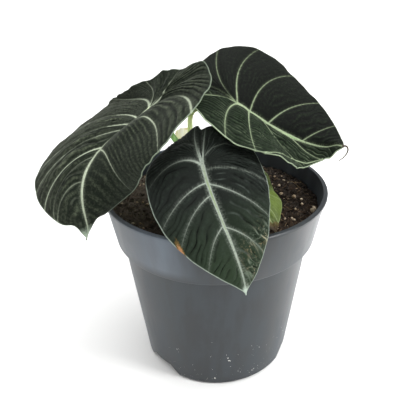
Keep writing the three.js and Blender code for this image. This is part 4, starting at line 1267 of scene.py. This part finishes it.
# Painted shade: darker green towards the tip, in shade by the pot's rim; its brown tip is painted very dark,
# partly its own browning and partly painted shade. Crest and groove are the ribs' painted highlight and
# shade, crest also the flecks' colour.
small_velvet = blade_material("alocasia blade, juvenile, yellowing", {
    "tissue": "#758a3c", "tissue_painted_shading": "#333f1c", "painted_shading_way": ((1, 0), (16, 36)),
    "fleck_share": 0.3, "crest": "#8a9c54", "painted_crest_highlight": 0.5,
    "groove": "#43561f", "painted_groove_shade": 0.6, "groove_width": 0.16, "nerve_strengths": (0.3, 0.3),
    "vein": "#cbd8a8", "vein_dark": "#a8b97e", "vein_softness": 0.2, "feather": 0.9, "bleed": 0.3,
    "midrib_core": "#b9cc8a", "core": (-2, 0, 10),
    "margin": "#a9b97f", "margin_line": (0.1, 0.45), "margin_strengths": (0.7, 0.7),
    "scorch": "#3a2d17", "scorch_rim": "#5a4f26", "underside": "#7c8c4c",
    "roughness": 0.55, "specular": 0.3, "sheen": 0.05, "sheen_tint": "#d8e0c0",
})
small_blade = grow_blade("small_leaf", SMALL_LEAF, small_velvet)
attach(small_blade, "root")
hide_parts("blade_small")

# ---- Studio ----
# A plain white floor that runs out of view. A key light from the right throws the pot's shadow to
# the left, a wide overhead light softens it, two low panels light the floor beside the pot, and a
# small snoot picks the petioles out of the leaves' shade.

FLOOR_HALF_WIDTH = 4
FLOOR_DROP = 0.2  # in mm, under the pot's foot
floor_paint = two_tone(
    "studio floor, matt white", 3, 2, (0, 1), ("#f4f4f3", "#f6f6f5"),
    {"Roughness": 0.9, "Specular IOR Level": 0.1},
)
bm = bmesh.new()
bmesh.ops.create_grid(bm, x_segments=1, y_segments=1, size=FLOOR_HALF_WIDTH)
bmesh.ops.translate(bm, verts=bm.verts, vec=(0, 0, -FLOOR_DROP * MM))
floor = add_piece("studio_floor", bm, floor_paint)

SNOOT_PLACE, SNOOT_TARGET = Vector((0.012, -0.25, 0.235)), Vector((-0.013, 0.006, 0.128))
SNOOT = {"energy": 3, "spot_size": math.radians(6), "spot_blend": 1, "shadow_soft_size": 0.01}
LIGHTS = [  # name, kind, place in metres, the way it comes from or None for straight down, settings
    ("key", "SUN", (0, 0, 0), (0.65, -0.28, 0.66), {"energy": 1.8, "angle": math.radians(16)}),
    ("overhead", "SUN", (0, 0, 0), (0.05, 0.1, 1), {"energy": 2.4, "angle": math.radians(80)}),
    ("right panel", "AREA", (0.3, 0.1, 0.1), None, {"energy": 1.1, "size": 0.25}),
    ("left panel", "AREA", (-0.4, -0.02, 0.18), None, {"energy": 0.7, "size": 0.3}),
    ("snoot", "SPOT", SNOOT_PLACE, SNOOT_PLACE - SNOOT_TARGET, SNOOT),
]
for name, kind, spot_place, source, settings in LIGHTS:
    lamp = bpy.data.lights.new(name, kind)
    for key, value in settings.items():
        setattr(lamp, key, value)
    light = bpy.data.objects.new(name, lamp)
    light.location = spot_place
    if source:
        light.rotation_euler = Vector(source).to_track_quat("Z", "Y").to_euler()
    bpy.context.scene.collection.objects.link(light)

world = bpy.data.worlds.new("white studio")
world.use_nodes = True
daylight = {"Color": (1, 1, 1, 1), "Strength": 0.5}
fill_sockets(world.node_tree, world.node_tree.nodes["Background"], daylight)
bpy.context.scene.world = world
bpy.context.scene.view_settings.view_transform = "Standard"

# ---- Camera ----
# It looks down on the pot's front from eye height over a table.

CAMERA_PLACE = (0, -0.2482, 0.2253)
CAMERA_PITCH, CAMERA_YAW, CAMERA_ROLL = (math.radians(angle) for angle in (28.52, -0.91, -1.01))
lens = bpy.data.cameras.new("camera")
lens.lens = 44
lens.sensor_width = 36
lens.clip_start = 0.01
camera = bpy.data.objects.new("camera", lens)
camera.matrix_world = (
    Matrix.Translation(CAMERA_PLACE)
    @ Matrix.Rotation(-CAMERA_YAW, 4, "Z")
    @ Matrix.Rotation(math.pi / 2 - CAMERA_PITCH, 4, "X")
    @ Matrix.Rotation(CAMERA_ROLL, 4, "Z")
)
bpy.context.scene.collection.objects.link(camera)
bpy.context.scene.camera = camera
